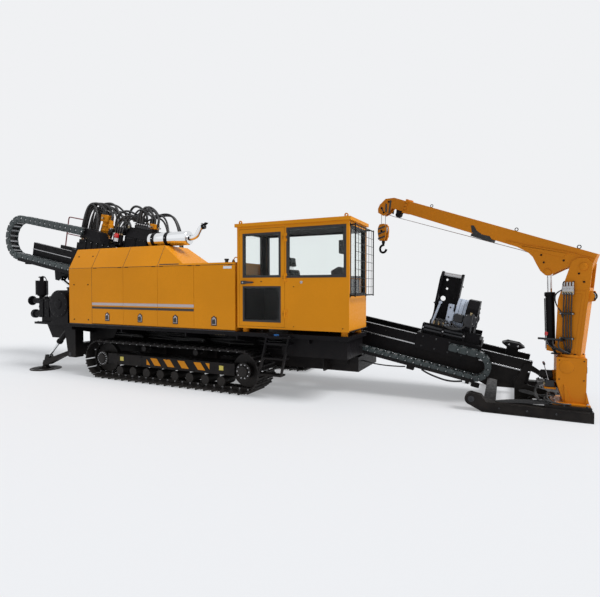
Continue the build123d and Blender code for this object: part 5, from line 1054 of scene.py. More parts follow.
def power_head_fittings():
    """Cover plates, ribs, bolt circles, valve banks, manifold, beacon and trunking of the power head."""
    piece = Piece("power_head_fittings", MAST)
    for side in (-1, 1):
        for s0, s1 in ((-3.26, -2.93), (-2.89, -2.56)):
            plate = cut_corners(rect(s0, 0.52, s1, 0.88), 0.05)
            piece.prism(plate, *between(side, 0.33, 0.344), BLACK, "y", 0.004)
            piece.bolts(row(s0 + 0.06, (s1 - s0 - 0.12) / 3, 4), side * 0.344, (0.545, 0.855),
                        (0, side, 0), 0.01, GRIT)
        for s in (-3.28, -2.91, -2.54):
            rib = rect(s - 0.012, 0.29, s + 0.012, 0.9)
            piece.prism(rib, *between(side, 0.325, 0.352), BLACK, "y", 0.004)
    for s, radius, way, size in ((-2.18, 0.2, FRONT, 0.014), (-3.3, 0.15, REAR, 0.01)):
        for u, v in circle(12, radius):
            piece.bolt((s, u, SPINDLE_N + v), way, size, GRIT)
    gland = [(0, 0.125), (0.03, 0.125), (0.035, 0.11), (0.12, 0.11), (0.125, 0.122), (0.15, 0.122)]
    piece.lathe(gland, (-3.8, 0, SPINDLE_N), REAR, GRIT, 32)
    piece.box((-3.2, -0.16, 1.15), (-2.64, 0.17, 1.235), GRIT, 0.008)
    valve_cap = [(0, 0.022), (0.06, 0.022), (0.064, 0.014)]
    for s in row(-3.15, 0.077, 7):
        piece.box((s - 0.03, -0.13, 1.23), (s + 0.03, 0.13, 1.3), BLACK, 0.006)
        for side in (-1, 1):
            piece.lathe(valve_cap, (s, side * 0.13, 1.265), (0, side, 0), STEEL, 16)
        piece.lathe(stepped(0.02, 0.022, 0.016, 0.05, 0.002), (s, 0.04, 1.3), UP, BRASS, 6)
    piece.box((-5.01, -0.34, 0.455), (-4.72, 0.34, 0.56), BLACK, 0.01)
    for y in row(-0.3, 0.085, 8):
        for s in (-4.95, -4.79):
            piece.lathe(stepped(0.026, 0.03, 0.02, 0.06), (s, y, 0.56), UP, BRASS, 6)
    trough_y = -0.452
    for s in row(-4.6, 0.22, 5):
        piece.box((s - 0.02, trough_y, 0.28), (s + 0.02, -0.438, 0.61), BLACK, 0.003)
        piece.bolt((s, trough_y, 0.54), NEAR, 0.01, STEEL)
    lamp = (
        # height, profile, finish
        (0.62, stepped(0.05, 0.075, 0.066, 0.09, 0.005), BLACK),
        (0.71, [(0, 0.06), (0.095, 0.06), (0.1, 0.056)], WHITE),
        (0.808, [(0, 0.064), (0.01, 0.066), (0.08, 0.064), (0.105, 0.052), (0.12, 0.025)], SIGNAL_RED),
    )
    for n, profile, finish in lamp:
        piece.lathe(profile, (-3.51, -0.42, n), UP, finish, 28)
    profile = [(0, 0.05), (0.02, 0.062), (0.15, 0.062), (0.17, 0.045)]
    piece.lathe(profile, (-3.86, -0.33, 0.83), (0.2, 0, 1), GRIT, 28)
    piece.bolts((-4.97, -1.73), (-0.41, 0.41), 0.266, UP, 0.016, GRIT)
    block_y = -0.402
    piece.box((-3.66, block_y, 0.62), (-3.34, -0.335, 0.9), BLACK, 0.01)
    piece.box((-3.64, -0.33, 0.9), (-3.36, 0.3, 0.96), BLACK, 0.01)
    for s in row(-3.62, 0.08, 4):
        piece.lathe(stepped(0.024, 0.02, 0.017, 0.05), (s, -0.368, 0.9), UP, BRASS, 6)
        piece.bolt((s, block_y, 0.66), NEAR, 0.011, GRIT)
    guide = [(-4.38, 0.64), (-4.3, 0.7), (-3.96, 0.7), (-3.7, 0.61), (-3.72, 0.6), (-4.0, 0.67),
             (-4.29, 0.67), (-4.35, 0.63)]
    piece.prism(guide, -0.56, -0.52, BLACK, "y", 0.004)
    piece.done("carriage")


def power_head_hoses():
    """The hoses that rise from the manifold at the rear and fall to the motors and valves."""
    cover_top = 1.35
    valve_top = 1.34
    front_top = 1.33
    motor_n = 1.1
    rows = (
        # start s, end s, top n, across at start, across at end, end n
        (-4.95, -4.3, 1.7, -0.3, -0.23, cover_top),
        (-4.95, -4.18, 1.65, -0.215, -0.11, cover_top),
        (-4.95, -4.42, 1.56, -0.33, -0.3, 0.7),
        (-4.79, -3.82, 1.6, -0.13, -0.19, motor_n),
        (-4.79, -3.82, 1.68, -0.045, 0.19, motor_n),
        (-4.79, -3.86, 1.5, 0.04, -0.315, 1.23),
        (-4.95, -3.82, 1.56, 0.125, 0.23, 0.73),
        (-4.79, -3.15, 1.48, 0.21, 0.04, valve_top),
        (-4.95, -3.82, 1.43, 0.295, 0.3, 1.0),
        (-4.79, -4.36, 1.42, -0.26, -0.15, 1.3),
        (-3.84, -3.073, 1.53, -0.19, 0.04, valve_top),
        (-3.84, -2.996, 1.7, 0.19, 0.04, valve_top),
        (-3.3, -2.46, 1.62, -0.1, -0.3, front_top),
        (-3.08, -2.34, 1.72, -0.18, -0.22, front_top),
        (-2.92, -2.3, 1.66, -0.17, -0.26, 1.26),
        (-2.842, -1.72, 1.56, 0.04, -0.38, 0.28),
        (-2.765, -1.9, 1.6, 0.04, 0.34, 0.27),
        (-3.227, -4.33, 1.35, 0.04, 0.1, 0.5),
        (-4.95, -4.26, 1.74, -0.28, -0.18, cover_top),
        (-4.95, -4.22, 1.6, -0.24, -0.25, cover_top),
        (-4.95, -4.3, 1.48, -0.19, -0.08, cover_top),
        (-4.79, -4.12, 1.66, -0.16, -0.14, cover_top),
        (-4.79, -3.84, 1.74, -0.09, -0.1, motor_n),
        (-4.79, -3.84, 1.56, -0.02, 0.1, motor_n),
        (-3.3, -2.42, 1.56, -0.06, -0.24, front_top),
        (-3.15, -2.38, 1.64, -0.12, -0.29, front_top),
        (-3.0, -2.48, 1.7, -0.15, -0.25, front_top),
        (-2.88, -1.8, 1.48, -0.06, -0.3, 0.28),
        (-2.8, -1.76, 1.62, 0.09, 0.1, 0.27),
    )
    routes = []
    for k, s in enumerate(row(-3.62, 0.08, 4)):
        routes.append((0.019, [(s, -0.368, 0.94), (s, -0.37, 1.08), (s + 0.03, -0.35 + 0.03 * k, 1.26),
                               (s + 0.14, -0.28 + 0.05 * k, 1.42 + 0.03 * k), (s + 0.32, -0.2, 1.44),
                               (s + 0.42, -0.11, 1.36), (-3.15 + 0.077 * k, -0.08, 1.29)]))
    for number, (s0, s1, top, y0, y1, n1) in enumerate(rows):
        n0 = 0.6 if s0 < -4.5 else (1.1 if s0 < -3.5 else 1.3)
        lean = 0.3 * (s1 - s0)
        rise = top - max(n0, n1)
        sway = random.uniform(-0.05, 0.05)
        middle = (y0 + y1) / 2 + sway
        route = [(s0, y0, n0), (s0 - 0.01, y0 + sway * 0.3, n0 + 0.45 * rise),
                 (s0 + lean * 0.25, y0 + sway, top - 0.06), (s0 + (s1 - s0) * 0.4, middle, top + 0.05),
                 (s0 + (s1 - s0) * 0.7, middle, top - 0.02),
                 (s1 + 0.02, y1 + sway * 0.5, n1 + 0.5 * (top - n1)), (s1, y1, n1 + 0.1), (s1, y1, n1)]
        routes.append((0.024 + 0.004 * (number % 3), [below_top(point) for point in route]))
    thing = hoses("power_head_hoses", routes, MAST, "carriage")
    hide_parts("carriage_hoses")


def spindle_dress():
    """Turned steps, wrench flats and thread of the spindle."""
    piece = Piece("spindle_dressed", MAST)
    profile = [(0, 0.07), (0.01, 0.075), (0.69, 0.075), (0.7, 0.105), (0.71, 0.11), (0.74, 0.11),
               (0.745, 0.1), (0.8, 0.1), (0.805, 0.11), (0.845, 0.11), (0.85, 0.06), (0.98, 0.06)]
    for k in range(14):
        along = 0.985 + k * 0.0073
        profile += [(along, 0.06 - 0.0008 * k), (along + 0.0036, 0.056 - 0.0008 * k)]
    profile += [(1.088, 0.046), (1.09, 0.03)]
    piece.lathe(profile, (-2.65, 0, SPINDLE_N), FRONT, STEEL, 48)
    for y, n in circle(4, 1.0, 0.5):
        piece.bolt((-1.875, 0.1 * y, SPINDLE_N + 0.1 * n), (0, y, n), 0.012, GRIT, 0.006)
    piece.done("spindle", ["spindle"])


def vise_dress():
    """Bars, cylinders, rollers, clamps and fittings of the vises."""
    piece = Piece("vise_fittings", MAST)
    for n in (0.37, 0.31):
        piece.rod((4.675, -0.465, n), (5.376, -0.465, n), 0.026, GRIT, 20)
    for s in (4.66, 5.02, 5.39):
        piece.box((s - 0.02, -0.5, 0.245), (s + 0.02, -0.425, 0.42), BLACK, 0.005)
        piece.bolt((s, -0.5, 0.345), NEAR, 0.012, STEEL)
    clamp_s = 5.43
    cylinder = [(0, 0.125), (0.018, 0.125), (0.022, 0.098), (0.15, 0.098), (0.156, 0.11), (0.176, 0.11),
                (0.182, 0.07)]
    for side in (-1, 1):
        out = (0, side, 0)
        piece.lathe(cylinder, (clamp_s, side * 0.36, SPINDLE_N), out, GRIT, 36)
        for u, v in circle(8, 0.11):
            piece.bolt((clamp_s + u, side * 0.378, SPINDLE_N + v), out, 0.01, STEEL)
        fitting = stepped(0.018, 0.03, 0.024, 0.05)
        piece.lathe(fitting, (clamp_s, side * 0.47, SPINDLE_N + 0.1), UP, BRASS, 6)
    for way in (-1, 1):
        s = clamp_s + way * 0.102
        piece.ring((s, 0, SPINDLE_N), FRONT, 0.185, 0.012, GRIT)
        for u, v in circle(10, 0.235):
            piece.bolt((s, u, SPINDLE_N + v), (way, 0, 0), 0.013, GRIT)
    for s, way in ((4.692, REAR), (5.128, FRONT)):
        for y, n in ((0.1, 0.3), (0.29, 0.3), (0.29, 0.8), (0.12, 0.8), (0.29, 1.2)):
            piece.bolt((s, y, n), way, 0.014, GRIT)
    profile = [(0, 0.03), (0.01, 0.047), (0.33, 0.047), (0.34, 0.03)]
    piece.lathe(profile, (4.74, 0.265, 1.38), FRONT, STEEL, 28)
    piece.box((4.76, -0.35, 0.29), (5.06, 0.21, 0.42), BLACK, 0.01)
    for y in (-0.2, 0.15):
        saddle = [(y - 0.15, 0.415), (y + 0.15, 0.415), (y + 0.06, 0.52), (y - 0.06, 0.52)]
        piece.prism(saddle, 4.8, 5.02, GRIT, "x", 0.01)
    ports = row(4.82, 0.085, 4)
    for s in ports:
        piece.lathe(stepped(0.02, 0.05, 0.026, 0.075, 0.005), (s, -0.34, 0.42), UP, BRASS, 6)
    piece.box((5.56, -0.3, 0.245), (5.7, 0.3, 0.33), BLACK, 0.008)
    notched = [(5.01, 0.44), (5.11, 0.44), (5.11, 0.56), (5.135, 0.56), (5.135, 0.7), (5.105, 0.74),
               (5.105, 0.86), (5.01, 0.86)]
    piece.prism(notched, -0.4, -0.27, PALE_STEEL, "y", 0.006)
    for n in (0.5, 0.62, 0.8):
        piece.bolt((5.055, -0.4, n), NEAR, 0.013, GRIT)
    strut = [(4.76, 0.43), (4.8, 0.43), (4.872, 0.86), (4.832, 0.86)]
    piece.prism(strut, -0.35, -0.32, PALE_STEEL, "y", 0.004)
    piece.rod((4.852, -0.36, 0.85), (4.852, -0.29, 0.85), 0.03, PALE_STEEL, 20)
    wheel_s = 5.475
    wheel_y = -0.545
    piece.ring((wheel_s, wheel_y, 0.6), FRONT, 0.165, 0.01, GRIT)
    piece.rod((wheel_s, wheel_y, 0.44), (wheel_s, wheel_y, 0.76), 0.008, GRIT, 10)
    piece.rod((wheel_s, wheel_y, 0.6), (wheel_s, -0.44, 0.6), 0.016, STEEL, 12)
    piece.bolts(row(4.7, 0.24, 4), -0.531, (0.18, 0.0), NEAR, 0.014, GRIT)
    piece.done("vise")
    routes = []
    for k, s in enumerate(ports):
        routes.append((0.013, [(s, -0.34, 0.48), (s, -0.35, 0.56), (s + 0.06, -0.47, 0.54),
                               (s + 0.2, -0.53, 0.44), (5.3 + 0.02 * k, -0.53, 0.4 + 0.03 * k),
                               (5.42, -0.53, 0.56 + 0.03 * k), (clamp_s, -0.47, 0.73)]))
    hoses("vise_hoses", routes, MAST, "vise")


def breakout_dress():
    """The three lobed rings, jaws and side lugs of the breakout clamp."""
    piece = Piece("breakout_dressed", MAST @ Matrix.Translation((0, 0, SPINDLE_N)))
    turns = circle(48, 1.0)
    inner = [(0.163 * u, 0.163 * v) for u, v in turns]
    outer = []
    for k, (u, v) in enumerate(turns):
        radius = 0.345 if k % 12 in (0, 1, 11) else 0.325
        outer.append((radius * u, radius * v))
    for s0, s1 in ((5.14, 5.19), (5.196, 5.264), (5.27, 5.32)):
        rings = [[(s, u, v) for u, v in outline]
                 for outline, s in ((inner, s0), (outer, s0), (outer, s1), (inner, s1))]
        piece.rings(rings, PALE_STEEL, True)
    for side in (-1, 1):
        lug = side * 0.365
        piece.box((5.15, lug - 0.06, -0.075), (5.31, lug + 0.06, 0.075), GRIT, 0.012)
        piece.rod((5.23, side * 0.36, -0.08), (5.23, side * 0.36, 0.08), 0.028, STEEL, 20)
        jaw = [(side * 0.16, -0.07), (side * 0.16, 0.07), (side * 0.105, 0.045), (side * 0.105, -0.045)]
        piece.prism(jaw, 5.18, 5.28, STEEL, "x", 0.004)
    for u, v in circle(12, 0.29, 0.5):
        piece.bolt((5.32, u, v), FRONT, 0.012, STEEL)
        piece.bolt((5.14, u, v), REAR, 0.012, STEEL)
    piece.done("breakout", ["breakout_clamp"])


def mast_dress():
    """Rails, end plates, stiffeners, bolts and pipes of the mast, its handrail and the boom's rest."""
    piece = Piece("mast_fittings", MAST)
    rear = -6.7
    front = 6.55
    web = 0.48
    hub = [(0, 0.105), (0.01, 0.105), (0.016, 0.092), (0.022, 0.06), (0.022, 0.004)]
    for side in (-1, 1):
        y0, y1 = between(side, 0.4815, 0.5015)
        piece.box((rear, y0, -0.0125), (front, y1, 0.0125), STEEL, 0.003)
        y0, y1 = between(side, 0.44, 0.4805)
        piece.box((rear, y0, 0.186), (front, y1, 0.1925), STEEL, 0.002)
        piece.bolts(row(-6.55, 0.39, 34), side * web, 0.11, (0, side, 0), 0.012, BLACK)
        for s in (-6.69, 6.53):
            y0, y1 = between(side, 0.37, 0.486)
            piece.box((s - 0.012, y0, -0.276), (s + 0.012, y1, 0.192), BLACK, 0.004)
        piece.lathe(hub, (6.41, side * web, -0.2), (0, side, 0), BLACK, 32)
    for s in row(-3.2, 0.62, 10):
        piece.box((s - 0.008, -0.488, -0.262), (s + 0.008, -0.478, -0.02), BLACK, 0.003)
    for n in row(-0.12, 0.035, 3):
        piece.rod((-5.2, 0.395, n), (6.0, 0.395, n), 0.011, GRIT, 8)
    for s in (4.59, 5.75):
        piece.box((s - 0.07, -0.56, -0.49), (s + 0.07, -0.47, -0.41), BLACK, 0.008)
    piece.done("mast")
    routes = [(0.012, [(3.0, -0.52, -0.3), (3.15, -0.56, -0.48), (3.6, -0.57, -0.59),
                       (4.1, -0.56, -0.56), (4.5, -0.54, -0.46)]),
              (0.016, [(4.8, -0.545, -0.43), (4.9, -0.55, -0.47), (5.1, -0.555, -0.5),
                       (5.35, -0.555, -0.515), (5.53, -0.55, -0.44)])]
    hoses("mast_hoses", routes, MAST, "mast")
    rail = Piece("handrail_dressed", MAST)
    y = 0.56
    post = -6.73
    end = -5.98
    top = 1.085
    middle = 0.56
    path = smooth_path([(post, y, -0.1), (post, y, 0.6), (post, y, 0.98)], 3)[:-1]
    path += smooth_path([(post, y, 0.99), (-6.722, y, 1.045), (-6.69, y, 1.08), (-6.64, y, top)], 4)
    path += [(-6.4, y, top), (-6.1, y, top)]
    path += smooth_path([(-6.07, y, top), (-6.02, y, 1.08), (-5.988, y, 1.045), (end, y, 0.99)], 4)
    path += [(end, y, 0.6), (end, y, -0.1)]
    rail.sweep(path, 0.018, RED, 12)
    rail.sweep([(post, y, middle), (-6.4, y, middle), (end, y, middle)], 0.016, RED, 12)
    for s in (post, end):
        rail.box((s - 0.04, 0.48, -0.104), (s + 0.04, 0.585, -0.08), RED, 0.003)
        rail.bolt((s, 0.515, -0.08), UP, 0.01, STEEL)
    rail.done("mast", ["handrail"])
    rest = Piece("boom_rest_trim", MAST)
    saddle = []
    for centre, across in ((0.5735, row(-0.1, 0.025, 9)), (0.5655, row(0.1, -0.025, 9))):
        saddle += [(y, centre - math.sqrt(0.2 ** 2 - y * y)) for y in across]
    rest.prism(saddle, 6.14, 6.29, RUBBER, "x", 0.001)
    collar = [(6.06, 0.35), (6.128, 0.388), (6.302, 0.388), (6.37, 0.35), (6.308, 0.312), (6.122, 0.312)]
    gusset = [(6.14, 0.16), (6.29, 0.16), (6.24, 0.3), (6.19, 0.3)]
    for side in (-1, 1):
        rest.prism(collar, *between(side, 0.168, 0.176), BLACK, "y", 0.003)
        rest.bolts((6.14, 6.29), side * 0.176, 0.35, (0, side, 0), 0.012, STEEL)
        rest.prism(gusset, *between(side, 0.088, 0.104), BLACK, "y", 0.003)
    rest.done("mast")


def foot_dress():
    """Levers, valve bank, slew motor, bolts and edges of the anchor foot."""
    piece = Piece("foot_fittings")
    cap = [(0, 0.05), (0.008, 0.05), (0.014, 0.04), (0.014, 0.012), (0.006, 0.01)]
    top_rim = rect(5.8, 0.148, 7.19, 0.16)
    low_rim = [(5.7, 0.014), (7.19, 0.014), (7.19, 0.026), (5.69, 0.026)]
    for face, side in ((-0.85, -1), (1.45, 1)):
        out = (0, side, 0)
        piece.lathe(cap, (5.526, face, 0.195), out, GRIT, 28)
        y0, y1 = sorted((face, face + side * 0.01))
        piece.prism(top_rim, y0, y1, BLACK, "y", 0.003)
        piece.prism(low_rim, y0, y1, BLACK, "y", 0.003)
        piece.bolts((5.95, 6.35, 6.75), face, 0.088, out, 0.014, GRIT)
    piece.bolts((6.64, 6.86, 7.16), (-0.78, -0.72, 0.1, 0.5, 0.9, 1.38), 0.215, UP, 0.016, GRIT)
    base = 0.24
    piece.bolts((6.745, 7.175), (-0.7, -0.56, -0.34, -0.2), base, UP, 0.016, STEEL)
    front_gusset = [(6.88, base), (6.98, base), (6.9, 0.48), (6.86, 0.52)]
    rear_gusset = [(7.15, base), (7.205, base), (7.165, 0.42), (7.16, 0.42)]
    for y0, y1 in ((-0.665, -0.651), (-0.249, -0.235)):
        piece.prism(front_gusset, y0, y1, BOOM_PAINT, "y", 0.003)
        piece.prism(rear_gusset, y0, y1, BOOM_PAINT, "y", 0.003)
    piece.box((6.775, -0.64, 0.9395), (7.16, -0.26, 0.9425), BOOM_PAINT, 0.001)
    pedestal_y = -0.65
    profile = [(0, 0.095), (0.002, 0.102), (0.004, 0.095)]
    piece.lathe(profile, (6.9, pedestal_y, 0.8), NEAR, BOOM_PAINT, 36)
    piece.bolts((6.8, 7.13), pedestal_y, (0.6, 0.9), NEAR, 0.008, BLACK)
    piece.box((6.6, -0.6, 0.42), (6.765, -0.4, 0.45), BOOM_PAINT, 0.004)
    bracket = [(6.64, 0.44), (6.765, 0.44), (6.765, 0.7), (6.72, 0.7), (6.64, 0.5)]
    piece.prism(bracket, -0.412, -0.4, BOOM_PAINT, "y", 0.003)
    piece.box((6.615, -0.59, 0.45), (6.745, -0.43, 0.56), GRIT, 0.008)
    slew_motor = [(0, 0.06), (0.01, 0.07), (0.16, 0.07), (0.17, 0.055), (0.19, 0.05)]
    piece.lathe(slew_motor, (6.72, -0.5, 0.64), REAR, BLACK, 28)
    lean = Vector((-0.25, 0, 1))
    lever = [(0, 0.012), (0.03, 0.01), (0.032, 0.006), (0.24, 0.005)]
    knob = [(0, 0.01), (0.01, 0.017), (0.035, 0.017), (0.045, 0.008)]
    fitting = stepped(0.014, 0.02, 0.01, 0.04, 0.002)
    for k, y in enumerate(row(-0.57, 0.038, 4)):
        root = Vector((6.66, y, 0.56))
        piece.lathe(lever, root, lean, STEEL, 10)
        piece.lathe(knob, root + lean.normalized() * 0.24, lean, SIGNAL_RED if k == 1 else PLASTIC, 16)
        piece.lathe(fitting, (6.63, y, 0.5), REAR, BRASS, 6)
    piece.box((7.158, -0.56, 0.7), (7.186, -0.5, 0.8), BLACK, 0.004)
    plug = stepped(0.012, 0.02, 0.017, 0.034)
    piece.lathe(plug, (7.172, -0.53, 0.8), UP, STEEL, 14)
    piece.bolts(6.4, (-0.25, 0.85), 0.165, UP, 0.018, GRIT)
    piece.done("foot")


def foot_hoses():
    """Three bundles of hoses that fall from the valves to the foot."""
    routes = []
    for k in range(6):
        y = -0.57 + (k % 4) * 0.038
        sway = random.uniform(-0.06, 0.06)
        low = 0.175 + 0.012 * (k % 3)
        routes.append((0.011, [(6.59, y, 0.5), (6.52, y, 0.49), (6.47, y - 0.05 + sway, 0.4),
                               (6.45 + sway, -0.64, 0.3),
                               (6.56, -0.7 - 0.02 * k, low + 0.03),
                               (6.7 + sway, -0.74 + 0.03 * k, low + 0.055),
                               (6.64, -0.79 + 0.03 * k, low + 0.05), (6.4, -0.76 + 0.02 * k, low + 0.02),
                               (6.15 + sway, -0.7 + 0.02 * k, low), (5.9, -0.74, low - 0.02)]))
    for k in range(4):
        sway = random.uniform(-0.05, 0.05)
        routes.append((0.013, [(6.75, -0.6 + 0.05 * k, 0.33), (6.64, -0.66 + 0.04 * k, 0.35 + sway),
                               (6.56 + sway, -0.76, 0.3), (6.7, -0.8, 0.245), (6.85 + sway, -0.79, 0.24),
                               (6.95, -0.74, 0.235)]))
    for k in range(3):
        routes.append((0.014, [(6.25, -0.3 - 0.03 * k, 0.3), (6.36, -0.36 - 0.02 * k, 0.33 - 0.03 * k),
                               (6.52, -0.42, 0.25), (6.68, -0.47 - 0.02 * k, 0.27 + 0.02 * k),
                               (6.76, -0.48 - 0.02 * k, 0.33)]))
    hoses("foot_hoses", routes, WHOLE, "foot")


def pump_dress():
    """Damper, neck, hand wheel, valve covers, bolts and pipes of the mud pump."""
    y = PUMP_Y
    damper_x = -4.62
    piece = Piece("mud_pump_fittings")
    damper = [(0, 0.06), (0.004, 0.12), (0.02, 0.141), (0.34, 0.141), (0.356, 0.12), (0.36, 0.046),
              (0.43, 0.044), (0.434, 0.07), (0.45, 0.076), (0.462, 0.06), (0.466, 0.015)]
    piece.lathe(damper, (damper_x, y, 1.85), UP, BLACK, 40)
    for z, way in ((1.868, DOWN), (2.192, UP)):
        for u, v in circle(10, 0.122):
            piece.bolt((damper_x + u, y + v, z), way, 0.01, GRIT)
    pipe = [(damper_x, 2.3), (-4.59, 2.318), (-4.49, 2.29), (-4.43, 2.18), (-4.42, 1.96), (-4.42, 1.75)]
    piece.sweep(smooth_path([(x, y, z) for x, z in pipe]), 0.011, GRIT)
    neck = [(0, 0.062), (0.02, 0.1), (0.045, 0.1), (0.05, 0.064), (0.1, 0.064), (0.105, 0.1), (0.13, 0.1)]
    piece.lathe(neck, (damper_x, y, 1.72), UP, BLACK, 28)
    valve = [(0, 0.072), (0.03, 0.11), (0.06, 0.11), (0.066, 0.072), (0.18, 0.09), (0.3, 0.072),
             (0.31, 0.06)]
    piece.lathe(valve, (-4.43, y, 1.7), REAR, BLACK, 32)
    piece.lathe(stepped(0.03, 0.06, 0.04, 0.08, 0.002), (-4.83, y, 1.7), REAR, GRIT, 6)
    wheel_x = -4.99
    piece.ring((wheel_x, y, 1.7), FRONT, 0.112, 0.009, GRIT)
    for u, v in circle(8, 0.108)[:4]:
        piece.rod((wheel_x, y - u, 1.7 - v), (wheel_x, y + u, 1.7 + v), 0.006, GRIT, 8)
    inlet_x = -4.868
    piece.lathe([(0, 0.111), (0.02, 0.111), (0.022, 0.111)], (inlet_x, y, 1.37), FRONT, GRIT, 32)
    for u, v in circle(8, 0.092):
        piece.bolt((inlet_x, y + u, 1.37 + v), FRONT, 0.01, STEEL)
    for across in row(y - 0.14, 0.14, 3):
        profile = [(0, 0.062), (0.02, 0.062), (0.026, 0.05), (0.05, 0.046)]
        piece.lathe(profile, (-4.42, across, 1.56), REAR, GRIT, 6)
        profile = [(0, 0.058), (0.04, 0.058), (0.046, 0.046), (0.07, 0.04)]
        piece.lathe(profile, (-4.26, across, 1.75), UP, GRIT, 6)
        piece.lathe([(0, 0.05), (0.03, 0.05), (0.036, 0.038)], (-4.05, across, 1.75), UP, GRIT, 6)
    cover = [(0, 0.322), (0.01, 0.322), (0.016, 0.3), (0.016, 0.12), (0.034, 0.11), (0.04, 0.06)]
    for side in (-1, 1):
        face = y + side * 0.255
        out = (0, side, 0)
        piece.lathe(cover, (-3.65, face, 1.64), out, BLACK, 40)
        for u, v in circle(12, 0.285):
            piece.bolt((-3.65 + u, face + side * 0.014, 1.64 + v), out, 0.012, GRIT)
        face = y + side * 0.215
        piece.bolts((-4.38, -4.16, -3.94), face, (1.34, 1.525, 1.71), out, 0.014, GRIT)
        y0, y1 = sorted((face, face + side * 0.018))
        for x in (-4.27, -4.05):
            piece.prism(rect(x - 0.012, 1.305, x + 0.012, 1.745), y0, y1, BLACK, "y", 0.004)
    piece.box((-3.9, y - 0.18, 1.745), (-3.7, y + 0.18, 1.96), BLACK, 0.02)
    breather = [(0, 0.03), (0.05, 0.03), (0.055, 0.045), (0.085, 0.045), (0.09, 0.02)]
    piece.lathe(breather, (-3.76, y + 0.1, 1.955), UP, GRIT, 20)
    piece.bolts(row(-4.45, 0.25, 5), (-1.5, -1.05), 1.19, UP, 0.014, GRIT)
    piece.prism(rect(-4.545, 1.14, -3.305, 1.192), -1.5325, -1.518, BLACK, "y", 0.003)
    piece.done("chassis")


def leg_trim():
    """Collars, caps, hoses and pad edges of the legs and the lift and boom cylinders."""
    pad_x = LEG_PAD[0]
    for side, name in ((1, "left"), (-1, "right")):
        y = side * LEG_PAD[1]
        piece = Piece(f"leg_{name}_trim")
        piece.ring((pad_x, y, 0.014), UP, 0.342, 0.01, BLACK)
        for u, v in circle(8, 1.0):
            a = (pad_x + 0.09 * u, y + 0.09 * v, 0.026)
            b = (pad_x + 0.3 * u, y + 0.3 * v, 0.024)
            piece.rod(a, b, 0.008, BLACK, 6)
            piece.bolt((pad_x + 0.08 * u, y + 0.08 * v, 0.067), UP, 0.008, GRIT)
        for edge in (-1, 1):
            cap = [(0, 0.046), (0.008, 0.046), (0.012, 0.036)]
            piece.lathe(cap, (-3.35, y + edge * 0.1085, 0.45), (0, edge, 0), GRIT, 24)
        piece.done(f"leg_{name}")
    leg_foot = (-3.48, 1.08)
    leg_eye = (-4.27, 0.33)
    for name, foot, eye, length, radius, ys, body in (
        ("leg_left", leg_foot, leg_eye, 0.56, 0.06, (LEG_PAD[1],), "leg_left_barrel"),
        ("leg_right", leg_foot, leg_eye, 0.56, 0.06, (-LEG_PAD[1],), "leg_right_barrel"),
        ("lift", (-3.2, 0.79), LIFT_EYE, 2.05, 0.075, (0.1, 0.5), "lift_barrels"),
    ):
        piece = Piece(f"{name}_barrel_trim")
        for y in ys:
            a = Vector((foot[0], y, foot[1]))
            way = (Vector((eye[0], y, eye[1])) - a).normalized()
            up = way.cross(Vector(FAR))
            collar = [(0, radius + 0.004), (0.01, radius + 0.014), (0.056, radius + 0.014),
                      (0.066, radius + 0.004), (0.07, radius * 0.7)]
            piece.lathe(collar, a + way * (length - 0.068), way, BLACK, 32)
            band = [(0, radius + 0.001), (0.006, radius + 0.006), (0.024, radius + 0.006),
                    (0.03, radius + 0.001)]
            piece.lathe(band, a + way * 0.12, way, BLACK, 32)
            half = Vector((0.018, 0.018, 0.018))
            for t in (0.16, length - 0.12):
                spot = a + way * t - up * (radius - 0.002)
                piece.box(tuple(spot - half), tuple(spot + half), BLACK, 0.004)
            spot = a - up * (radius + 0.012)
            piece.sweep([spot + way * 0.16, spot + way * (length - 0.12)], 0.008, GRIT, 8)
        piece.done(body)
    piece = Piece("luff_barrel_trim", CRANE)
    a = Vector((0.29, 0, 1.06))
    way = (on_boom(*BOOM_CYLINDER_EYE) - a).normalized()
    side = Vector((0.078, 0, 0))
    collar = [(0, 0.07), (0.01, 0.08), (0.056, 0.08), (0.066, 0.068), (0.07, 0.045)]
    piece.lathe(collar, a + way * 0.832, way, BLACK, 32)
    piece.sweep([a + way * 0.12 + side, a + way * 0.8 + side], 0.009, GRIT, 8)
    piece.box((0.352, -0.02, 1.16), (0.388, 0.02, 1.2), BLACK, 0.004)
    piece.done("luff_barrel")


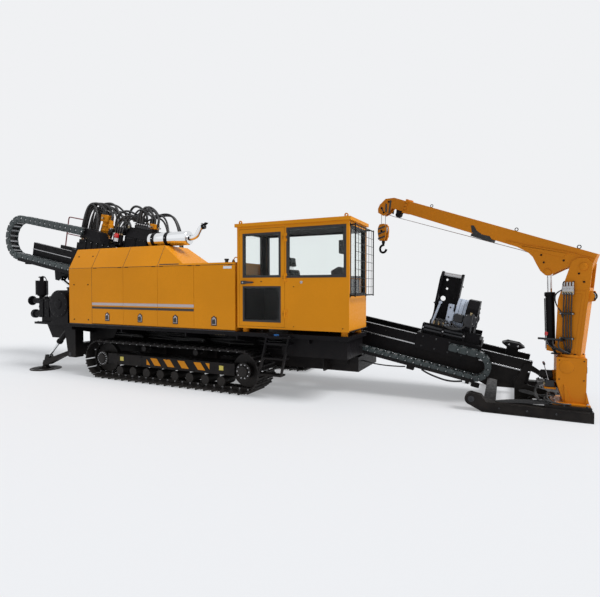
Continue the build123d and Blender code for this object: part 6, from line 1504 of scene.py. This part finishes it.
def deck_and_tank_trim():
    """Step treads, tank straps, caps and gauges, deck edges and hand holds."""
    piece = Piece("step_treads")
    for z, shift in ((0.44, 0.0), (0.74, 0.078), (1.01, 0.143)):
        for x in row(1.975 + shift, 0.0525, 9):
            piece.box((x - 0.004, -1.696, z + 0.03), (x + 0.004, -1.524, z + 0.036), BLACK, 0.001)
    piece.bolts((2.12, 2.34, 2.56), -1.64, 1.16, UP, 0.01, GRIT)
    piece.done("chassis")
    piece = Piece("tank_fittings")
    strap_y = 1.5665
    filler = [(0, 0.07), (0.012, 0.07), (0.014, 0.062), (0.05, 0.062), (0.056, 0.054), (0.058, 0.01)]
    for low, high, cap in ((-3.15, -1.7, -2.9), (-1.56, -0.2, -1.3)):
        for x in (low + 0.28, high - 0.28):
            piece.box((x - 0.03, 1.559, 1.205), (x + 0.03, strap_y, 1.983), GRIT, 0.002)
            piece.box((x - 0.03, 0.996, 1.979), (x + 0.03, strap_y, 1.986), GRIT, 0.002)
            piece.bolt((x, strap_y, 1.26), FAR, 0.012, STEEL)
        piece.lathe(filler, (cap, 1.28, 1.98), UP, BLACK, 32)
        for u, v in circle(10, 0.062):
            piece.rod((cap + u, 1.28 + v, 2.0), (cap + u, 1.28 + v, 2.028), 0.006, BLACK, 8)
        piece.box((high - 0.16, 1.558, 1.4), (high - 0.12, 1.572, 1.8), GRIT, 0.004)
        piece.rod((high - 0.14, 1.572, 1.43), (high - 0.14, 1.572, 1.77), 0.009, GLASS, 12)
        for x in (low + 0.01, high - 0.01):
            piece.box((x - 0.01, 1.01, 1.97), (x + 0.01, 1.55, 1.984), BLACK, 0.003)
    hose = [(-1.66, 1.5, 1.2), (-1.66, 1.52, 1.55), (-1.66, 1.5, 1.95), (-1.65, 1.35, 2.02),
            (-1.62, 1.2, 1.98)]
    piece.sweep(smooth_path(hose), 0.02, HOSE, 12)
    piece.done("chassis")
    piece = Piece("deck_edges")
    piece.box((-3.3, -1.594, 1.126), (3.66, -1.586, 1.136), BLACK, 0.002)
    piece.box((-3.3, 1.586, 1.126), (1.4, 1.594, 1.136), BLACK, 0.002)
    piece.bolts(row(-3.15, 0.39, 18), -1.59, 1.165, NEAR, 0.009, BLACK)
    for x in (0.1, 0.7, 1.2):
        for y in row(0.99, 0.18, 3):
            piece.box((x - 0.18, y, 1.2), (x + 0.18, y + 0.03, 1.206), GRIT, 0.002)
    piece.done("chassis")


def under_deck():
    """Pipes in clips, hose bundles and small valves along the chassis, under the near deck."""
    piece = Piece("under_deck_pipes")
    piece.box((-3.29, -0.704, 0.69), (3.0, -0.692, 1.128), BLACK, 0.003)
    web = [(-3.29, 0.64), (-2.7, 0.64), (-2.42, 0.9), (-2.3, 1.128), (-3.29, 1.128)]
    piece.prism(web, -0.964, -0.952, BLACK, "y", 0.003)
    for z in row(0.8, 0.045, 4):
        piece.rod((-3.05, -0.745, z), (3.15, -0.745, z), 0.014, BLACK, 10)
    clip_y = -0.775
    for x in row(-2.8, 0.7, 9):
        piece.box((x - 0.02, clip_y, 0.775), (x + 0.02, -0.722, 0.96), GRIT, 0.004)
        piece.box((x - 0.03, -0.725, 0.77), (x + 0.03, -0.7, 1.1), BLACK, 0.004)
        piece.bolt((x, clip_y, 0.87), NEAR, 0.01, STEEL)
    port = stepped(0.02, 0.02, 0.014, 0.04)
    for x in (-1.4, 0.55, 2.3):
        piece.box((x - 0.15, -0.86, 0.98), (x + 0.15, -0.74, 1.105), GRIT, 0.01)
        for u in row(x - 0.11, 0.073, 4):
            piece.lathe(port, (u, -0.86, 1.04), NEAR, BRASS, 6)
    piece.done("chassis")
    routes = []
    for k in range(7):
        y = -0.8 - 0.035 * (k % 3)
        z = 0.9 + 0.032 * k
        start = -3.1 + 0.25 * (k % 4)
        route = [(start, y, z)]
        for step in range(1, 12):
            route.append((start + step * 0.55, y + random.uniform(-0.025, 0.025),
                          z - random.uniform(-0.01, 0.045)))
        routes.append((0.018 + 0.003 * (k % 2), route))
    hoses("under_deck_hoses", routes, WHOLE, "chassis")


def puff(name, outline, y0, y1, cap, channels):
    """A cushion: its cut shape, remeshed, blown up as cloth, and sewn along its channels."""
    cut = Piece(name)
    cut.prism(outline, y0, y1, CLOTH, "y", 0.018)
    thing = cut.done("chassis", flat_angle=180.0)
    scene = bpy.context.scene
    body = thing.modifiers.new("even", "REMESH")
    body.mode = "VOXEL"
    body.voxel_size = CUSHION_VOXEL
    bake(thing)
    start = [v.co.copy() for v in thing.data.vertices]
    cloth = thing.modifiers.new("cloth", "CLOTH")
    cloth.settings.use_pressure = True
    cloth.settings.uniform_pressure_force = 4.0
    cloth.settings.effector_weights.gravity = 0.0
    cloth.settings.quality = 4
    for number in range(1, 21):
        scene.frame_set(number)
        bpy.context.view_layer.update()
    bake(thing)
    scene.frame_set(1)
    for vertex, old in zip(thing.data.vertices, start):
        way = vertex.co - old
        if way.length > cap:
            vertex.co = old + way.normalized() * cap
    normals = [v.normal.copy() for v in thing.data.vertices]
    for vertex, normal in zip(thing.data.vertices, normals):
        near = min(abs(vertex.co.y - y) for y in channels)
        vertex.co -= normal * 0.007 * math.exp(-(near / 0.007) ** 2)
    round_off = thing.modifiers.new("round", "SUBSURF")
    round_off.levels = 1
    round_off.render_levels = 1
    bake(thing)
    thing.data.polygons.foreach_set("use_smooth", [True] * len(thing.data.polygons))
    return thing


def bake(thing):
    """The mesh becomes what its modifiers make of it, and they go."""
    depth = bpy.context.evaluated_depsgraph_get()
    depth.update()
    result = bpy.data.meshes.new_from_object(thing.evaluated_get(depth), depsgraph=depth)
    thing.modifiers.clear()
    thing.data = result
    if not result.materials:
        result.materials.append(CLOTH)


def welt(piece, cushion, points):
    """A piped seam laid on the cushion's skin along a ring of points."""
    path = []
    for point in points:
        found, spot, normal, _ = cushion.closest_point_on_mesh(Vector(point))
        path.append((spot + normal * 0.001) if found else Vector(point))
    piece.sweep(path, 0.0045, PLASTIC, 8, True)


def ring_points(outline, y0, y1, steps=12):
    """Points round the loop of an outline's edge between two sides: along one edge, across, and back."""
    path = []
    corners = [(*outline[0], y0), (*outline[1], y0), (*outline[1], y1), (*outline[0], y1)]
    for i, here in enumerate(corners):
        there = corners[(i + 1) % 4]
        for k in range(steps):
            x, z, y = Vector(here).lerp(Vector(there), k / steps)
            path.append((x, y, z))
    return path


def seat():
    """Operator's seat: three padded cushions on a sprung base, with padded arms."""
    y = CAB_SEAT_Y
    cushions = (
        # name, outline, half width, cap, channels, seam from and to
        ("seat_cushion", [(2.412, 1.672), (2.9, 1.672), (2.918, 1.7), (2.912, 1.762), (2.87, 1.778),
                          (2.415, 1.772)], 0.235, 0.01, (-0.15, 0.0, 0.15), ((2.425, 1.778),
                                                                             (2.905, 1.772))),
        ("seat_back", [(2.414, 1.802), (2.506, 1.802), (2.486, 1.93), (2.412, 2.378), (2.322, 2.378),
                       (2.398, 1.9)], 0.226, 0.009, (-0.145, 0.0, 0.145), ((2.508, 1.815), (2.416, 2.375))),
        ("seat_head", [(2.324, 2.43), (2.395, 2.43), (2.372, 2.6), (2.306, 2.6)], 0.128, 0.008, (0.0,),
         ((2.398, 2.44), (2.374, 2.592))),
    )
    seams = Piece("seat_seams")
    for name, outline, half, cap, channels, edge in cushions:
        lines = [y + c for c in channels]
        thing = puff(name, outline, y - half, y + half, cap, lines)
        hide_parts("cab_seat")
        bpy.context.view_layer.update()
        welt(seams, thing, ring_points(edge, y - half + 0.012, y + half - 0.012))
    if seams.points:
        seams.done("chassis")
    base = Piece("seat_frame_dressed")
    for k in range(6):
        z = 1.35 + k * 0.048
        base.box((2.47 + 0.006 * (k % 2), y - 0.16, z), (2.83 - 0.006 * (k % 2), y + 0.16, z + 0.04),
                 RUBBER, 0.012)
    base.box((2.455, y - 0.175, 1.332), (2.845, y + 0.175, 1.354), BLACK, 0.004)
    base.box((2.455, y - 0.175, 1.634), (2.845, y + 0.175, 1.66), BLACK, 0.004)
    for side in (-1, 1):
        base.box((2.43, y + side * 0.12 - 0.018, 1.656), (2.9, y + side * 0.12 + 0.018, 1.67), STEEL, 0.003)
        base.rod((2.36, y + side * 0.04, 2.37), (2.352, y + side * 0.04, 2.44), 0.008, CHROME, 14)
        arm = y + side * 0.3
        base.box((2.455, arm - 0.036, 1.934), (2.845, arm + 0.036, 1.986), PLASTIC, 0.016)
        base.box((2.53, arm - 0.034, 1.714), (2.61, arm + 0.034, 1.94), PLASTIC, 0.01)
        y0, y1 = sorted((y + side * 0.236, y + side * 0.268))
        base.box((2.525, y0, 1.714), (2.615, y1, 1.766), BLACK, 0.004)
        profile = [(0, 0.034), (0.01, 0.036), (0.022, 0.03)]
        base.lathe(profile, (2.5, y + side * 0.24, 1.76), (0, side, 0), PLASTIC, 28)
    base.done("chassis")


def camera_and_light():
    """The photograph's view, a pale floor and plain soft light."""
    focal_px = 438.0
    image_px = 600.0
    data = bpy.data.cameras.new("view")
    data.sensor_width = 36.0
    data.lens = data.sensor_width * focal_px / image_px
    data.clip_end = 200.0
    camera = bpy.data.objects.new("view", data)
    camera.location = (6.02, -8.56, 2.035)
    camera.rotation_euler = (math.radians(90 - 1.44), 0, math.radians(25.1))
    bpy.context.scene.collection.objects.link(camera)
    bpy.context.scene.camera = camera
    bpy.context.scene.view_settings.view_transform = "Standard"
    backdrop = (0.871, 0.88, 0.896, 1)
    world = bpy.data.worlds.new("studio")
    world.use_nodes = True
    bpy.context.scene.world = world
    tree = world.node_tree
    paths = tree.nodes.new("ShaderNodeLightPath")
    light = tree.nodes["Background"]
    light.inputs["Color"].default_value = (0.93, 0.96, 1.0, 1)
    light.inputs["Strength"].default_value = 0.45
    seen = tree.nodes.new("ShaderNodeBackground")
    seen.inputs["Color"].default_value = backdrop
    joined = tree.nodes.new("ShaderNodeMixShader")
    either = tree.nodes.new("ShaderNodeMath")
    either.operation = "MAXIMUM"
    through = tree.nodes.new("ShaderNodeMath")
    through.operation = "MAXIMUM"
    tree.links.new(paths.outputs["Is Camera Ray"], either.inputs[0])
    tree.links.new(paths.outputs["Is Glossy Ray"], either.inputs[1])
    tree.links.new(either.outputs[0], through.inputs[0])
    tree.links.new(paths.outputs["Is Transmission Ray"], through.inputs[1])
    tree.links.new(through.outputs[0], joined.inputs[0])
    tree.links.new(light.outputs[0], joined.inputs[1])
    tree.links.new(seen.outputs[0], joined.inputs[2])
    tree.links.new(joined.outputs[0], tree.nodes["World Output"].inputs["Surface"])
    for name, turn, strength, angle in (("key", (45, 0, 86), 2.6, 25), ("fill", (62, 0, -25), 0.15, 60)):
        sun = bpy.data.lights.new(name, "SUN")
        sun.energy = strength
        sun.angle = math.radians(angle)
        lamp = bpy.data.objects.new(name, sun)
        lamp.rotation_euler = [math.radians(t) for t in turn]
        bpy.context.scene.collection.objects.link(lamp)
    floor_mesh = bpy.data.meshes.new("floor")
    size = 70.0
    floor_mesh.from_pydata([(-size, -size, 0), (size, -size, 0), (size, size, 0), (-size, size, 0)], [],
                           [(0, 1, 2, 3)])
    floor = bpy.data.objects.new("floor", floor_mesh)
    floor.location = (0, 0, -0.001)
    bpy.context.scene.collection.objects.link(floor)
    r = Recipe("floor")
    far = r.node("ShaderNodeVectorMath", {0: r.place}, operation="LENGTH").outputs["Value"]
    r.shader.inputs["Base Color"].default_value = (0.84, 0.85, 0.87, 1)
    r.shader.inputs["Roughness"].default_value = 1.0
    r.shader.inputs["Specular IOR Level"].default_value = 0.0
    glow = r.node("ShaderNodeEmission", {"Color": backdrop})
    fade = r.node("ShaderNodeMixShader", {0: r.span(far, 7.0, 13.0, 0.35, 1.0), 1: r.shader.outputs[0],
                                          2: glow.outputs[0]})
    r.tree.links.new(fade.outputs[0], r.tree.nodes["Material Output"].inputs["Surface"])
    floor_mesh.materials.append(r.material)


camera_and_light()
paint_frame()
tracks()
track_trim()
energy_chains()
hood_trim()
exhaust_dress()
cab_trim()
boom_trim()
column_trim()
hook_dress()
drive_motors()
power_head_fittings()
power_head_hoses()
spindle_dress()
vise_dress()
breakout_dress()
mast_dress()
foot_dress()
foot_hoses()
pump_dress()
leg_trim()
deck_and_tank_trim()
under_deck()
seat()
